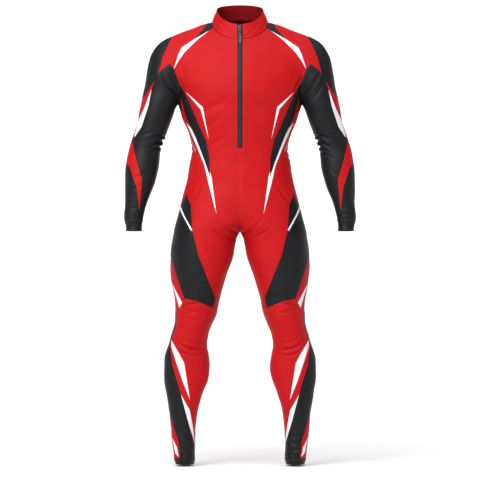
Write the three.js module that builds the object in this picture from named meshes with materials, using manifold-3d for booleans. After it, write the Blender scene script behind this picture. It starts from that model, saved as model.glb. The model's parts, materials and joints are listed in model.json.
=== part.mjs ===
// Ski race suit: a close one-piece suit of stretch laminate, filled out as it is when worn.
// Millimetres, +Z up. The front faces -Y and the wearer's left is +X.
// The origin is the middle of the neck, level with the shoulders that carry the suit.
//
// One wall of cloth is built from level sections, then parted along its sewing seams.
// Every section is a pair of half ovals, one in front of the plane Y = middle and one behind it.
// The collar, the zip and its pull are pieces of their own.

import * as THREE from 'three';
import { mergeVertices } from 'three/addons/utils/BufferGeometryUtils.js';
import Module from 'manifold-3d';

const wasm = await Module();
wasm.setup();

// ---- Driving dimensions ----
const WALL = 1.8;
const COLLAR_WALL = 2.4;
const SEAM_GAP = 0.3;
const REACH_THROUGH = 320;
const ABOVE_ALL = 100;
const CROTCH_Z = -680;

const ZIP_WIDTH = 16;
const ZIP_BOTTOM = -390;
const TAPE_THICK = 1.3;
const TAPE_SINK = 0.2;
const CHAIN_WIDTH = 5.6;
const CHAIN_THICK = 1.5;
const CHAIN_LIFT = 0.12;
const STOP = { thick: 2.1, top: 11.5, bottom: 6 };
const CHAIN_END = 12;

// The slider's nose and tail narrow from these shares of its half length.
const SLIDER_Z = -5;
const SLIDER = { width: 12, waist: 8.6, length: 22, thick: 3.8, lift: 0.5, nose: 0.5, tail: 0.4 };
const BRIDGE = { width: 3.4, length: 13, rise: 4.6, bar: 1.5, sink: 1, haunch: 0.6, crown: 0.6, hollow: 0.5 };

// The pull rests swung out from the slider by a degree, with its tip just clear of the chest.
const PULL = {
  width: 9.4, tip: 7.6, length: 50, thick: 1.7, corner: 2.2, swing: 1,
  neckWidth: 8.2, neckLength: 18, shoulder: 22, pin: 1.5, eye: 4.6, eyeDepth: 17.5,
};

const BODY_STEPS = 6;
const ARM_STEPS = 5;
const WELD = 0.002;
const MERGE = 0.0001;
const MITRE_LIMIT = 0.35;
const BLEND = 6;
const TAPE_DROP = 1;
const LEAN_SPAN = 20;

// ---- Sections, top to bottom ----
const table = (columns, rows) =>
  rows.map((row) => Object.fromEntries(columns.map((name, i) => [name, row[i]])));

// From the neck seam over the shoulders to the underarm, where the sleeves part from the body.
// Each section is a closed loop that lies higher at the shoulder ridge than at front and back.
const YOKE = table(
  ['ridgeZ', 'frontZ', 'backZ', 'reach', 'front', 'back', 'bodyHalf', 'armHalf', 'armDepth'],
  [
    [18, -39, 26, 91, 76, 66, 91, 30, 30],
    [10, -57, 12, 122, 84, 82, 119, 38, 42],
    [-4, -78, -8, 160, 94, 95, 150, 48, 52],
    [-19, -99, -32, 200, 102, 105, 178, 56, 57],
    [-33, -120, -58, 236, 108, 111, 200, 60, 60],
    [-52, -141, -88, 266, 113, 115, 215, 62, 63],
    [-84, -162, -120, 287, 118, 118, 223, 63, 65],
    [-118, -184, -152, 298, 121, 119, 225, 63, 66],
    [-150, -206, -184, 304, 122, 118, 222, 62, 66],
    [-188, -226, -214, 309, 121, 116, 214, 61.5, 66],
    [-222, -242, -238, 318, 119, 113, 207, 61, 66],
    [-250, -250, -250, 323, 117, 110, 201, 61, 66],
  ],
);

// The body below the underarm. Overlap is how far each leg's oval reaches past the centre line:
// the whole half width where the body is one oval, nothing at the crotch.
const BODY = table(
  ['z', 'half', 'front', 'back', 'overlap'],
  [
    [-250, 201, 117, 110, 201],
    [-300, 185, 113, 105, 185],
    [-344, 167, 107, 99, 167],
    [-395, 156, 102, 95, 156],
    [-442, 164, 102, 99, 164],
    [-500, 174, 104, 110, 174],
    [-556, 189, 106, 122, 150],
    [-600, 200, 106, 128, 100],
    [-632, 208, 104, 127, 56],
    [-652, 213, 102, 122, 20],
    [-660, 215, 101, 118, 6],
    [-664, 216, 100, 116, 0],
  ],
);

const LEG = table(
  ['z', 'outer', 'inner', 'front', 'back', 'middle'],
  [
    [-664, 216, 0, 100, 116, 0],
    [-676, 218, 8, 100, 113, 0],
    [-700, 222, 14, 99, 108, 0],
    [-735, 226, 20, 98, 102, 0],
    [-815, 224, 47, 93, 86, 0],
    [-890, 211, 68, 83, 68, -4],
    [-930, 211, 76, 77, 60, -5],
    [-965, 214, 91, 71, 59, -4],
    [-1000, 224, 103, 65, 63, -2],
    [-1030, 233, 107, 60, 69, 0],
    [-1066, 244, 101, 56, 76, 2],
    [-1105, 247, 98, 54, 80, 3],
    [-1144, 247, 104, 52, 78, 3],
    [-1183, 240, 120, 50, 71, 2],
    [-1261, 229, 140, 45, 58, 2],
    [-1345, 221, 146, 42, 49, 2],
    [-1385, 216, 146, 43, 48, 2],
    [-1404, 214, 146, 43, 48, 2],
    [-1418, 209, 150, 40, 45, 2],
  ],
);

const SLEEVE = table(
  ['z', 'outer', 'inner', 'front', 'back', 'middle'],
  [
    [-250, 323, 201, 66, 66, 0],
    [-260, 325, 208, 65, 66, 0],
    [-278, 328, 214, 64, 65, 0],
    [-305, 332, 224, 62, 64, 0],
    [-344, 345, 239, 57, 61, 0],
    [-383, 358, 254, 53, 57, -3],
    [-461, 372, 265, 53, 48, -14],
    [-500, 373, 275, 49, 44, -20],
    [-579, 373, 304, 36, 34, -32],
    [-618, 375, 314, 32, 31, -38],
    [-660, 368, 318, 30, 30, -44],
  ],
);

const COLLAR = table(
  ['ridgeZ', 'frontZ', 'backZ', 'reach', 'front', 'back', 'bodyHalf', 'armHalf', 'armDepth'],
  [
    [60, 9, 75, 75, 65, 53, 75, 30, 20],
    [43, -12, 53, 81, 69.5, 58.5, 81, 30, 24],
    [18, -39, 26, 91, 76, 66, 91, 30, 30],
  ],
);

// Heights at which the wall has a ring of points. They lie close together at the crotch and
// on the crests and troughs of the folds at the knees and elbows.
const LEVELS = {
  body: [-250, -300, -344, -395, -442, -500, -556, -610, -640, -656, -664],
  leg: [
    -664, -676, -700, -735, -815, -880, -897, -915, -965, -1016, -1034, -1052,
    -1095, -1144, -1183, -1261, -1345, -1385, -1404, -1418,
  ],
  sleeve: [-250, -262, -305, -350, -370, -390, -461, -500, -579, -618, -660],
};

// ---- Folds: soft troughs in the cloth, the same on both sides of the suit ----
// Each runs across (out, z) for its half length, turned by a slope, on the front or the back.
const FOLDS = table(
  ['out', 'z', 'slope', 'halfLength', 'halfWidth', 'depth', 'face'],
  [
    [150, -897, -3, 46, 9, 4.5, -1],
    [160, -1034, 3, 46, 9, 5, -1],
    [144, -915, 2, 50, 10, 4, 1],
    [150, -1034, -2, 46, 9, 4, 1],
    [284, -370, -4, 44, 9, 4.5, -1],
    [300, -370, 3, 40, 9, 3.5, 1],
    [238, -188, 52, 40, 8, 5, -1],
    [236, -196, 52, 40, 8, 5, 1],
  ],
);

// ---- Seams: where the cloth is cut and sewn, as (distance out, height) points ----
// Each seam runs through front and back alike, and is mirrored to the other side.
const SEAMS = {
  raglan: [[70, 40], [84, 0], [149, -38], [189, -65], [199, -87], [214, -134]],
  wedge: [[149, -38], [116, -1], [102, 34]],
  shoulder: [[211, -10], [230, -48], [251, -96], [264, -149]],
  shoulderPoint: [[264, -149], [230, -118], [214, -134]],
  band: [[214, -134], [205, -160], [170, -230], [131, -322], [110, -367], [99, -420], [97, -484]],
  bandOuter: [[203, -303], [191, -270], [192, -226], [175, -292], [143, -359], [114, -434], [97, -484]],
  armhole: [[264, -149], [228, -205], [199, -262]],
  elbow: [[356, -360], [344, -354], [319, -346], [292, -351], [238, -389]],
  cuff: [[400, -617], [345, -620], [290, -617]],
  thighInner: [
    [206, -590], [193, -580], [187, -561], [174, -542], [159, -576], [155, -653],
    [135, -735], [106, -807], [78, -878], [86, -907],
  ],
  hipLine: [[193, -580], [181, -608], [155, -653]],
  groin: [[0, -610], [157.2, -610]],
  kneeTop: [[220, -905], [196, -907], [180, -877], [135, -886], [86, -907], [56, -924]],
  thighOuter: [[240, -730], [225, -749], [202, -816], [180, -877]],
  kneeBottom: [[223, -1010], [208, -1010], [168, -1038], [145, -1040], [123, -1024], [80, -962]],
  calfInner: [
    [216, -902], [205, -928], [207, -965], [226, -1021], [228, -1038],
    [219, -1098], [200, -1158], [167, -1281], [150, -1337], [143, -1366],
  ],
  calfOuter: [[244, -1230], [232, -1248], [200, -1343], [195, -1398]],
  hem: [[250, -1395], [180, -1398], [120, -1395]],
};

// Seams that part the front from the back lie in the plane Y = 0: (out from, out to, top, bottom).
const SIDE_SEAMS = table(
  ['from', 'to', 'top', 'bottom'],
  [
    [120, 230, -272, -584],
    [-110, 110, -640, -916],
  ],
);

// ---- The cut pieces: the name, the colour and a point on or near each, on the wearer's left ----
const PIECES = table(
  ['name', 'colour', 'x', 'y', 'z'],
  [
    ['front', 'red', 60, -118, -250],
    ['back', 'red', 60, 115, -250],
    ['leg_front', 'red', 60, -98, -750],
    ['leg_back', 'red', 60, 98, -750],
    ['neck_wedge', 'black', 108, -20, 6],
    ['shoulder', 'red', 180, 0, -14],
    ['underarm', 'black', 170, -70, -260],
    ['sleeve', 'black', 300, -50, -240],
    ['forearm', 'black', 320, -60, -480],
    ['cuff', 'black', 345, -70, -640],
    ['hip_front', 'black', 170, -50, -570],
    ['hip_back', 'black', 170, 60, -570],
    ['thigh', 'black', 170, -90, -740],
    ['thigh_side', 'red', 218, 0, -830],
    ['knee', 'red', 145, -75, -950],
    ['shin', 'red', 130, -50, -1120],
    ['calf', 'black', 235, 0, -1140],
    ['ankle', 'red', 221, 0, -1345],
    ['hem', 'black', 180, -42, -1410],
  ],
);

// ---- Materials ----
const fabric = (colour) => new THREE.MeshStandardMaterial({ color: colour, roughness: 0.55, metalness: 0 });
const MATERIALS = {
  red: fabric(0xd42227),
  black: fabric(0x2a2c2e),
  tape: new THREE.MeshStandardMaterial({ color: 0x17181a, roughness: 0.7, metalness: 0 }),
  chain: new THREE.MeshStandardMaterial({ color: 0x3b4348, roughness: 0.45, metalness: 0 }),
  metal: new THREE.MeshStandardMaterial({ color: 0x33363a, roughness: 0.35, metalness: 0.9 }),
};

// ---- Reading a table between its rows ----
// The slope at a row is the mean of its two neighbours' slopes, weighted by the nearer one.
function slopeAt(rows, name, i, place) {
  const step = (a, b) => (rows[b][name] - rows[a][name]) / (place(b) - place(a));
  if (i === 0) {
    return step(0, 1);
  }
  if (i === rows.length - 1) {
    return step(i - 1, i);
  }
  const before = Math.abs(place(i) - place(i - 1));
  const after = Math.abs(place(i + 1) - place(i));
  return (step(i - 1, i) * after + step(i, i + 1) * before) / (before + after);
}

function readTable(rows, at, place) {
  let i = 0;
  while (i < rows.length - 2 && Math.abs(at - place(0)) > Math.abs(place(i + 1) - place(0))) {
    i += 1;
  }
  const span = place(i + 1) - place(i);
  const t = (at - place(i)) / span;
  const row = {};
  for (const name of Object.keys(rows[0])) {
    const from = rows[i][name];
    const to = rows[i + 1][name];
    const slopeFrom = slopeAt(rows, name, i, place) * span;
    const slopeTo = slopeAt(rows, name, i + 1, place) * span;
    row[name] = from * (1 + 2 * t) * (1 - t) ** 2 + to * t * t * (3 - 2 * t)
      + slopeFrom * t * (1 - t) ** 2 - slopeTo * t * t * (1 - t);
  }
  return row;
}

// ---- Sections as loops of points ----
const oval = (x, centre, half, depth) =>
  depth * Math.sqrt(Math.max(0, 1 - ((x - centre) / half) ** 2));

const blend = (a, b) => (a ** BLEND + b ** BLEND) ** (1 / BLEND);

// A yoke section's left half, from the centre front round the shoulder to the centre back.
function yokeLoop(row) {
  const groove = row.reach - 2 * row.armHalf;
  const across = [];
  for (let i = 0; i < BODY_STEPS; i += 1) {
    across.push(groove * Math.sin((Math.PI / 2) * (i / BODY_STEPS)));
  }
  for (let j = 0; j <= ARM_STEPS; j += 1) {
    across.push(groove + row.armHalf * (1 - Math.cos(Math.PI * (j / ARM_STEPS))));
  }
  const side = (depth, farZ, sign) => across.map((x) => {
    const arm = oval(x, row.reach - row.armHalf, row.armHalf, row.armDepth);
    const away = blend(oval(x, 0, row.bodyHalf, depth), arm);
    return [x, sign * away, row.ridgeZ + (farZ - row.ridgeZ) * (away / depth)];
  });
  const front = side(row.front, row.frontZ, -1);
  const back = side(row.back, row.backZ, 1);
  return [...front, ...back.reverse().slice(1)];
}

// The left half of an oval section: an oval from `inner` to `outer`, cut off at the centre line.
function ovalLoop(z, inner, outer, front, back, middle, steps) {
  const centre = (inner + outer) / 2;
  const half = (outer - inner) / 2;
  const start = inner < 0 ? Math.acos(centre / half) : 0;
  const side = (depth, sign) => {
    const points = [];
    for (let i = 0; i <= steps; i += 1) {
      const angle = start + (Math.PI - start) * (i / steps);
      points.push([centre - half * Math.cos(angle), middle + sign * depth * Math.sin(angle), z]);
    }
    return points;
  };
  return [...side(front, -1), ...side(back, 1).reverse().slice(1)];
}

function foldDepth(x, y, z) {
  let depth = 0;
  for (const fold of FOLDS) {
    const turn = THREE.MathUtils.degToRad(fold.slope);
    const dx = Math.abs(x) - fold.out;
    const dz = z - fold.z;
    const along = (dx * Math.cos(turn) + dz * Math.sin(turn)) / fold.halfLength;
    const over = (dz * Math.cos(turn) - dx * Math.sin(turn)) / fold.halfWidth;
    if (Math.sign(y) === fold.face) {
      depth += fold.depth * Math.exp(-(along ** 4) - over ** 2);
    }
  }
  return depth;
}

// ---- The surface: strips of loops, welded into one sheet ----
function stitchStrip(loops, corners) {
  for (let r = 0; r + 1 < loops.length; r += 1) {
    for (let c = 0; c + 1 < loops[r].length; c += 1) {
      corners.push([loops[r][c], loops[r + 1][c], loops[r + 1][c + 1], loops[r][c + 1]]);
    }
  }
}

function weldSheet(quads) {
  const points = [];
  const seen = new Map();
  const index = (point) => {
    const key = point.map((value) => Math.round(value / WELD)).join(' ');
    if (!seen.has(key)) {
      seen.set(key, points.length);
      points.push(new THREE.Vector3(...point));
    }
    return seen.get(key);
  };
  const triangles = [];
  for (const quad of quads) {
    const [a, b, c, d] = quad.map(index);
    const halves = points[a].distanceTo(points[c]) <= points[b].distanceTo(points[d])
      ? [[a, b, c], [a, c, d]]
      : [[a, b, d], [b, c, d]];
    triangles.push(...halves.filter(([i, j, k]) => i !== j && j !== k && k !== i));
  }
  return { points, triangles };
}

function sheetNormals({ points, triangles }) {
  const faces = triangles.map(([a, b, c]) => {
    const edge = new THREE.Vector3().subVectors(points[b], points[a]);
    return edge.cross(new THREE.Vector3().subVectors(points[c], points[a]));
  });
  const normals = points.map(() => new THREE.Vector3());
  triangles.forEach((triangle, f) => triangle.forEach((i) => normals[i].add(faces[f])));
  normals.forEach((normal) => normal.normalize());
  return normals;
}

// Gives the sheet its thickness: the outer skin, an inner skin behind it and a rim at each opening.
function thicken(sheet, wall) {
  const normals = sheetNormals(sheet);
  const count = sheet.points.length;
  const outer = sheet.points.map((point, i) =>
    point.clone().addScaledVector(normals[i], -foldDepth(point.x, point.y, point.z)));
  const inner = outer.map((point, i) => point.clone().addScaledVector(normals[i], -wall));
  const uses = new Map();
  for (const [a, b, c] of sheet.triangles) {
    for (const [from, to] of [[a, b], [b, c], [c, a]]) {
      uses.set(`${from} ${to}`, [from, to]);
    }
  }
  const triangles = [...sheet.triangles];
  for (const [a, b, c] of sheet.triangles) {
    triangles.push([a + count, c + count, b + count]);
  }
  for (const [from, to] of uses.values()) {
    if (!uses.has(`${to} ${from}`)) {
      triangles.push([to, from, from + count], [to, from + count, to + count]);
    }
  }
  return solid([...outer, ...inner], triangles);
}

// ---- Solids ----
function solid(points, triangles) {
  const mesh = new wasm.Mesh({
    numProp: 3,
    vertProperties: Float32Array.from(points.flatMap((point) => point.toArray())),
    triVerts: Uint32Array.from(triangles.flat()),
  });
  return new wasm.Manifold(mesh);
}

function solidFromGeometry(geometry) {
  const bare = geometry.clone();
  bare.deleteAttribute('normal');
  bare.deleteAttribute('uv');
  const merged = mergeVertices(bare, MERGE);
  const mesh = new wasm.Mesh({
    numProp: 3,
    vertProperties: Float32Array.from(merged.attributes.position.array),
    triVerts: Uint32Array.from(merged.index.array),
  });
  return new wasm.Manifold(mesh);
}

function meshOf(name, body, material) {
  const { vertProperties, triVerts } = body.getMesh();
  const geometry = new THREE.BufferGeometry();
  geometry.setAttribute('position', new THREE.BufferAttribute(Float32Array.from(vertProperties), 3));
  geometry.setIndex([...triVerts]);
  geometry.computeVertexNormals();
  const mesh = new THREE.Mesh(geometry, material);
  mesh.name = name;
  return mesh;
}

// A plate with a given outline in X and Z that runs from one Y to another.
function plateAlongY(outline, fromY, toY) {
  const shape = new THREE.Shape(outline.map(([x, z]) => new THREE.Vector2(x, z)));
  const geometry = new THREE.ExtrudeGeometry(shape, { depth: toY - fromY, bevelEnabled: false });
  geometry.rotateX(Math.PI / 2);
  geometry.translate(0, toY, 0);
  return solidFromGeometry(geometry);
}

const rectangle = (fromX, toX, fromZ, toZ) => [[fromX, fromZ], [toX, fromZ], [toX, toZ], [fromX, toZ]];

// A seam's narrow cut: the line widened to the seam gap, with mitred corners and longer ends.
function seamOutline(line, gap) {
  const points = line.map(([x, z]) => new THREE.Vector2(x, z));
  const along = points.slice(1).map((point, i) => point.clone().sub(points[i]).normalize());
  const sides = points.map((point, i) => {
    const before = along[Math.max(0, i - 1)];
    const after = along[Math.min(along.length - 1, i)];
    const mean = before.clone().add(after).normalize();
    const across = new THREE.Vector2(-mean.y, mean.x);
    const reach = gap / 2 / Math.max(MITRE_LIMIT, across.dot(new THREE.Vector2(-after.y, after.x)));
    const end = i === 0 ? -gap : i === points.length - 1 ? gap : 0;
    const place = point.clone().addScaledVector(mean, end);
    return [place.clone().addScaledVector(across, reach), place.addScaledVector(across, -reach)];
  });
  const outline = [...sides.map(([left]) => left), ...sides.map(([, right]) => right).reverse()];
  return outline.map((point) => point.toArray());
}

const mirrored = (line) => line.map(([x, z]) => [-x, z]);

// ---- The suit's wall ----
function suitSheet() {
  const quads = [];
  stitchStrip(YOKE.map(yokeLoop), quads);
  const strip = (rows, heights, loop) => {
    const place = (i) => rows[i].z;
    stitchStrip(heights.map((z) => loop(z, readTable(rows, z, place))), quads);
  };
  strip(BODY, LEVELS.body, (z, row) =>
    ovalLoop(z, -row.overlap, row.half, row.front, row.back, 0, BODY_STEPS));
  strip(LEG, LEVELS.leg, (z, row) =>
    ovalLoop(z, row.inner, row.outer, row.front, row.back, row.middle, BODY_STEPS));
  strip(SLEEVE, LEVELS.sleeve, (z, row) =>
    ovalLoop(z, row.inner, row.outer, row.front, row.back, row.middle, ARM_STEPS));
  const otherSide = quads.map((quad) => quad.map(([x, y, z]) => [-x, y, z]).reverse());
  return weldSheet([...quads, ...otherSide]);
}

function seamCutters() {
  const cutters = [];
  for (const line of Object.values(SEAMS)) {
    for (const side of [line, mirrored(line)]) {
      cutters.push(plateAlongY(seamOutline(side, SEAM_GAP), -REACH_THROUGH, REACH_THROUGH));
    }
  }
  for (const seam of SIDE_SEAMS) {
    for (const side of [1, -1]) {
      const [from, to] = [seam.from * side, seam.to * side].sort((a, b) => a - b);
      const outline = rectangle(from, to, seam.bottom, seam.top);
      cutters.push(plateAlongY(outline, -SEAM_GAP / 2, SEAM_GAP / 2));
    }
  }
  const centre = (top) => rectangle(-SEAM_GAP / 2, SEAM_GAP / 2, CROTCH_Z, top);
  cutters.push(plateAlongY(centre(ZIP_BOTTOM), -REACH_THROUGH, 0));
  cutters.push(plateAlongY(centre(ABOVE_ALL), 0, REACH_THROUGH));
  return cutters;
}

function zipSlot() {
  const half = ZIP_WIDTH / 2;
  return plateAlongY(rectangle(-half, half, ZIP_BOTTOM, ABOVE_ALL), -REACH_THROUGH, 0);
}

// How far a solid's nearest corner lies from a point.
function distanceTo(body, x, y, z) {
  const { vertProperties } = body.getMesh();
  let nearest = Infinity;
  for (let i = 0; i < vertProperties.length; i += 3) {
    const away = Math.hypot(vertProperties[i] - x, vertProperties[i + 1] - y, vertProperties[i + 2] - z);
    nearest = Math.min(nearest, away);
  }
  return nearest;
}

function cutPieces() {
  const wall = thicken(suitSheet(), WALL);
  const parted = wasm.Manifold.difference([wall, zipSlot(), ...seamCutters()]).decompose();
  const meshes = [];
  for (const piece of PIECES) {
    for (const [side, sign] of [['left', 1], ['right', -1]]) {
      const away = parted.map((body) => distanceTo(body, piece.x * sign, piece.y, piece.z));
      const found = parted[away.indexOf(Math.min(...away))];
      meshes.push(meshOf(`${piece.name}_${side}`, found, MATERIALS[piece.colour]));
    }
  }
  return meshes;
}

// ---- The collar: a stand band, open at the zip ----
function collarSolid() {
  const quads = [];
  const lift = (row) => ({
    ...row,
    ridgeZ: row.ridgeZ + SEAM_GAP,
    frontZ: row.frontZ + SEAM_GAP,
    backZ: row.backZ + SEAM_GAP,
  });
  stitchStrip(COLLAR.map((row) => yokeLoop(lift(row))), quads);
  const otherSide = quads.map((quad) => quad.map(([x, y, z]) => [-x, y, z]).reverse());
  return thicken(weldSheet([...quads, ...otherSide]), COLLAR_WALL).subtract(zipSlot());
}

// ---- The zip, along the centre front ----
// The line of the centre front from the collar's rim to the zip's bottom end, with its normals.
function centreFront() {
  const ring = (row) => [-yokeLoop(row)[0][1], row.frontZ];
  const body = BODY.slice(1).filter((row) => row.z > ZIP_BOTTOM);
  const end = readTable(BODY, ZIP_BOTTOM, (i) => BODY[i].z);
  const line = [
    ...COLLAR.map(ring),
    ...YOKE.slice(1).map(ring),
    ...body.map((row) => [row.front, row.z]),
    [end.front, ZIP_BOTTOM],
  ].map(([depth, z]) => new THREE.Vector2(-depth, z));
  return line.map((point, i) => {
    const before = line[Math.max(0, i - 1)];
    const after = line[Math.min(line.length - 1, i + 1)];
    const along = after.clone().sub(before).normalize();
    return { point, normal: new THREE.Vector2(along.y, -along.x) };
  });
}

// The part of the centre front between two heights.
function centreFrontBetween(top, bottom) {
  const line = centreFront();
  const at = (z) => {
    const i = line.findIndex(({ point }, k) => k > 0 && point.y <= z) || 1;
    const [from, to] = [line[i - 1], line[i]];
    const t = (z - from.point.y) / (to.point.y - from.point.y);
    return {
      point: from.point.clone().lerp(to.point, t),
      normal: from.normal.clone().lerp(to.normal, t).normalize(),
    };
  };
  const inside = line.filter(({ point }) => point.y < top - 1 && point.y > bottom + 1);
  return [at(top), ...inside, at(bottom)];
}

// A flat ribbon along that line, from one x to another and from one height over it to another.
function ribbon(line, fromX, toX, low, high) {
  const points = [];
  for (const { point, normal } of line) {
    for (const [x, lift] of [[fromX, high], [toX, high], [toX, low], [fromX, low]]) {
      const at = point.clone().addScaledVector(normal, lift);
      points.push(new THREE.Vector3(x, at.x, at.y));
    }
  }
  const triangles = [[0, 1, 2], [0, 2, 3]];
  for (let i = 0; i + 1 < line.length; i += 1) {
    for (let k = 0; k < 4; k += 1) {
      const a = i * 4 + k;
      const b = i * 4 + ((k + 1) % 4);
      triangles.push([a, a + 4, b + 4], [a, b + 4, b]);
    }
  }
  const last = (line.length - 1) * 4;
  triangles.push([last, last + 2, last + 1], [last, last + 3, last + 2]);
  return solid(points, triangles);
}

function zipMeshes() {
  const rim = COLLAR[0].frontZ - TAPE_DROP;
  const tapeLine = centreFrontBetween(rim, ZIP_BOTTOM + SEAM_GAP);
  const chainLine = centreFrontBetween(SLIDER_Z - SLIDER.length / 2 - 1, ZIP_BOTTOM + CHAIN_END);
  const stopLine = centreFrontBetween(ZIP_BOTTOM + STOP.top, ZIP_BOTTOM + STOP.bottom);
  const edge = ZIP_WIDTH / 2 - SEAM_GAP;
  const middle = SEAM_GAP / 2;
  const low = -TAPE_SINK - TAPE_THICK;
  const chainHalf = CHAIN_WIDTH / 2;
  return [
    meshOf('zip_tape_left', ribbon(tapeLine, middle, edge, low, -TAPE_SINK), MATERIALS.tape),
    meshOf('zip_tape_right', ribbon(tapeLine, -edge, -middle, low, -TAPE_SINK), MATERIALS.tape),
    meshOf('zip_chain', ribbon(chainLine, -chainHalf, chainHalf, CHAIN_LIFT, CHAIN_THICK), MATERIALS.chain),
    meshOf('zip_stop', ribbon(stopLine, -chainHalf, chainHalf, CHAIN_LIFT, STOP.thick), MATERIALS.metal),
  ];
}

// ---- Slider and pull ----
// Both are drawn upright with their backs to the cloth, then leaned against the collar.
function plateAlongX(outline, fromX, toX) {
  const shape = new THREE.Shape(outline.map(([y, z]) => new THREE.Vector2(y, z)));
  const geometry = new THREE.ExtrudeGeometry(shape, { depth: toX - fromX, bevelEnabled: false });
  const turn = new THREE.Matrix4().makeBasis(
    new THREE.Vector3(0, 1, 0),
    new THREE.Vector3(0, 0, 1),
    new THREE.Vector3(1, 0, 0),
  );
  geometry.applyMatrix4(turn);
  geometry.translate(fromX, 0, 0);
  return solidFromGeometry(geometry);
}

function leanedOnCollar(body) {
  const [{ point, normal }] = centreFrontBetween(SLIDER_Z, SLIDER_Z - LEAN_SPAN);
  const lean = THREE.MathUtils.radToDeg(Math.atan2(normal.y, -normal.x));
  return body.rotate([-lean, 0, 0]).translate([0, point.x, point.y]);
}

function sliderSolid() {
  const top = SLIDER.length / 2;
  const shoulder = SLIDER.width / 2;
  const waist = SLIDER.waist / 2;
  const face = SLIDER.lift + SLIDER.thick;
  const nose = top * SLIDER.nose;
  const tail = -top * SLIDER.tail;
  const plate = plateAlongY([
    [-waist, -top], [waist, -top], [shoulder, tail], [shoulder, nose],
    [waist, top], [-waist, top], [-shoulder, nose], [-shoulder, tail],
  ], -face, -SLIDER.lift);
  const half = BRIDGE.length / 2;
  const crown = face + BRIDGE.rise;
  const haunch = face + BRIDGE.rise * BRIDGE.haunch;
  const foot = face - BRIDGE.sink;
  const flat = half * BRIDGE.crown;
  const arch = [
    [foot, -half], [haunch, -half], [crown, -flat],
    [crown, flat], [haunch, half], [foot, half],
  ];
  const inner = half - BRIDGE.bar;
  const shallow = haunch - BRIDGE.bar / 2;
  const roof = crown - BRIDGE.bar;
  const level = half * BRIDGE.hollow;
  const under = [
    [foot - BRIDGE.sink, -inner], [shallow, -inner], [roof, -level],
    [roof, level], [shallow, inner], [foot - BRIDGE.sink, inner],
  ];
  const away = (outline) => outline.map(([out, z]) => [-out, z]).reverse();
  const bridge = plateAlongX(away(arch), -BRIDGE.width / 2, BRIDGE.width / 2)
    .subtract(plateAlongX(away(under), -BRIDGE.width, BRIDGE.width));
  return leanedOnCollar(plate.add(bridge));
}

// The pull is a loop round the bridge, closed at its top by the pin it swings on.
function pullSolid() {
  const pinAway = SLIDER.lift + SLIDER.thick + (BRIDGE.rise - BRIDGE.bar) / 2;
  const half = PULL.width / 2;
  const tip = PULL.tip / 2;
  const neck = PULL.neckWidth / 2;
  const eye = PULL.eye / 2;
  const low = -PULL.length;
  const flat = tip - PULL.corner;
  const side = [[tip, low + PULL.corner], [half, -PULL.shoulder], [neck, -PULL.neckLength], [neck, 0]];
  const outline = [[-flat, low], [flat, low], ...side, ...mirrored(side).reverse()];
  const blade = plateAlongY(outline, -PULL.thick / 2, PULL.thick / 2);
  const eyeHole = plateAlongY(rectangle(-eye, eye, -PULL.eyeDepth, 1), -PULL.thick, PULL.thick);
  const pin = new THREE.CylinderGeometry(PULL.pin / 2, PULL.pin / 2, 2 * neck, 12);
  pin.rotateZ(Math.PI / 2);
  const pull = blade.subtract(eyeHole).add(solidFromGeometry(pin));
  return leanedOnCollar(pull.rotate([-PULL.swing, 0, 0]).translate([0, -pinAway, 0]));
}

const suit = new THREE.Group();
suit.add(...cutPieces());
suit.add(meshOf('collar', collarSolid(), MATERIALS.red));
suit.add(...zipMeshes());
suit.add(meshOf('zip_slider', sliderSolid(), MATERIALS.metal));
suit.add(meshOf('zip_pull', pullSolid(), MATERIALS.metal));

export default suit;
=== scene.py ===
"""Ski race suit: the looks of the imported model.

Metres, +Z up, the front faces -Y and the wearer's left is +X.
The cloth is built in millimetres from the suit's own section tables, folded, parted along
its seams and turned into one thin piece for each panel. Everything else is sewn or set on it.
"""

import json
from math import asin, atan2, cos, pi, radians, sin

import bmesh
import bpy
import numpy as np
from mathutils import Matrix, Vector
from mathutils.bvhtree import BVHTree


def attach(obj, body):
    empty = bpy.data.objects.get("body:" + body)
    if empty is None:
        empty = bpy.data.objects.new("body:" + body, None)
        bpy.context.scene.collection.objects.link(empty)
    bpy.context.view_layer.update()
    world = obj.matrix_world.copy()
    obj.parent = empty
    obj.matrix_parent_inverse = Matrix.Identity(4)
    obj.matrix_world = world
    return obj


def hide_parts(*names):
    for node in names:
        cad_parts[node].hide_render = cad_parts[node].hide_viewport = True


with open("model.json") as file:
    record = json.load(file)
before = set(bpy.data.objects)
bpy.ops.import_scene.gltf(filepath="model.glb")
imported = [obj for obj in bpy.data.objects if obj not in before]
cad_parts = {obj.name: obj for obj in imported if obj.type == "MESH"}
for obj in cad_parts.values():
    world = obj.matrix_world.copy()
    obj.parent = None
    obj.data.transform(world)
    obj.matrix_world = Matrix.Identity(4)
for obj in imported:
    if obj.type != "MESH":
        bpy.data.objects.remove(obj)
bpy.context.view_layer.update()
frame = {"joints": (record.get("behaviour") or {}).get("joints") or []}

MM = 0.001

# ---- Sizes, in millimetres ----
WALL = 1.2
COLLAR_WALL = 2.0
SEAM_GAP = 0.3
SEAM_LAP = 0.02
SEAM_DIP = 0.7
SEAM_REACH = 3.0
# The neck seam is sought on a ring this many times finer than the cloth's own steps.
RING_FINER = 4
# The centre seams draw in cloth no farther out than the reach, and a little less than other seams.
CENTRE_REACH = 20
CENTRE_EASE = 1

PITCH = 4.0
BODY_STEPS = 56
ARM_STEPS = 38
YOKE_ROWS = 8
SMOOTHING = 14
# Each round of smoothing moves a point in by the first share and back out by the second.
SMOOTHING_SHARES = (0.5, -0.52)
# Points this close to the centre line are on it, and points in one small cell are welded.
ON_CENTRE = 0.01
CELLS_PER_MM = 200
CELL_SHIFT = 0.137

ZIP_WIDTH = 16
ZIP_BOTTOM = -390


def table(columns, rows):
    names = columns.split()
    return [dict(zip(names, row)) for row in rows]


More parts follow.
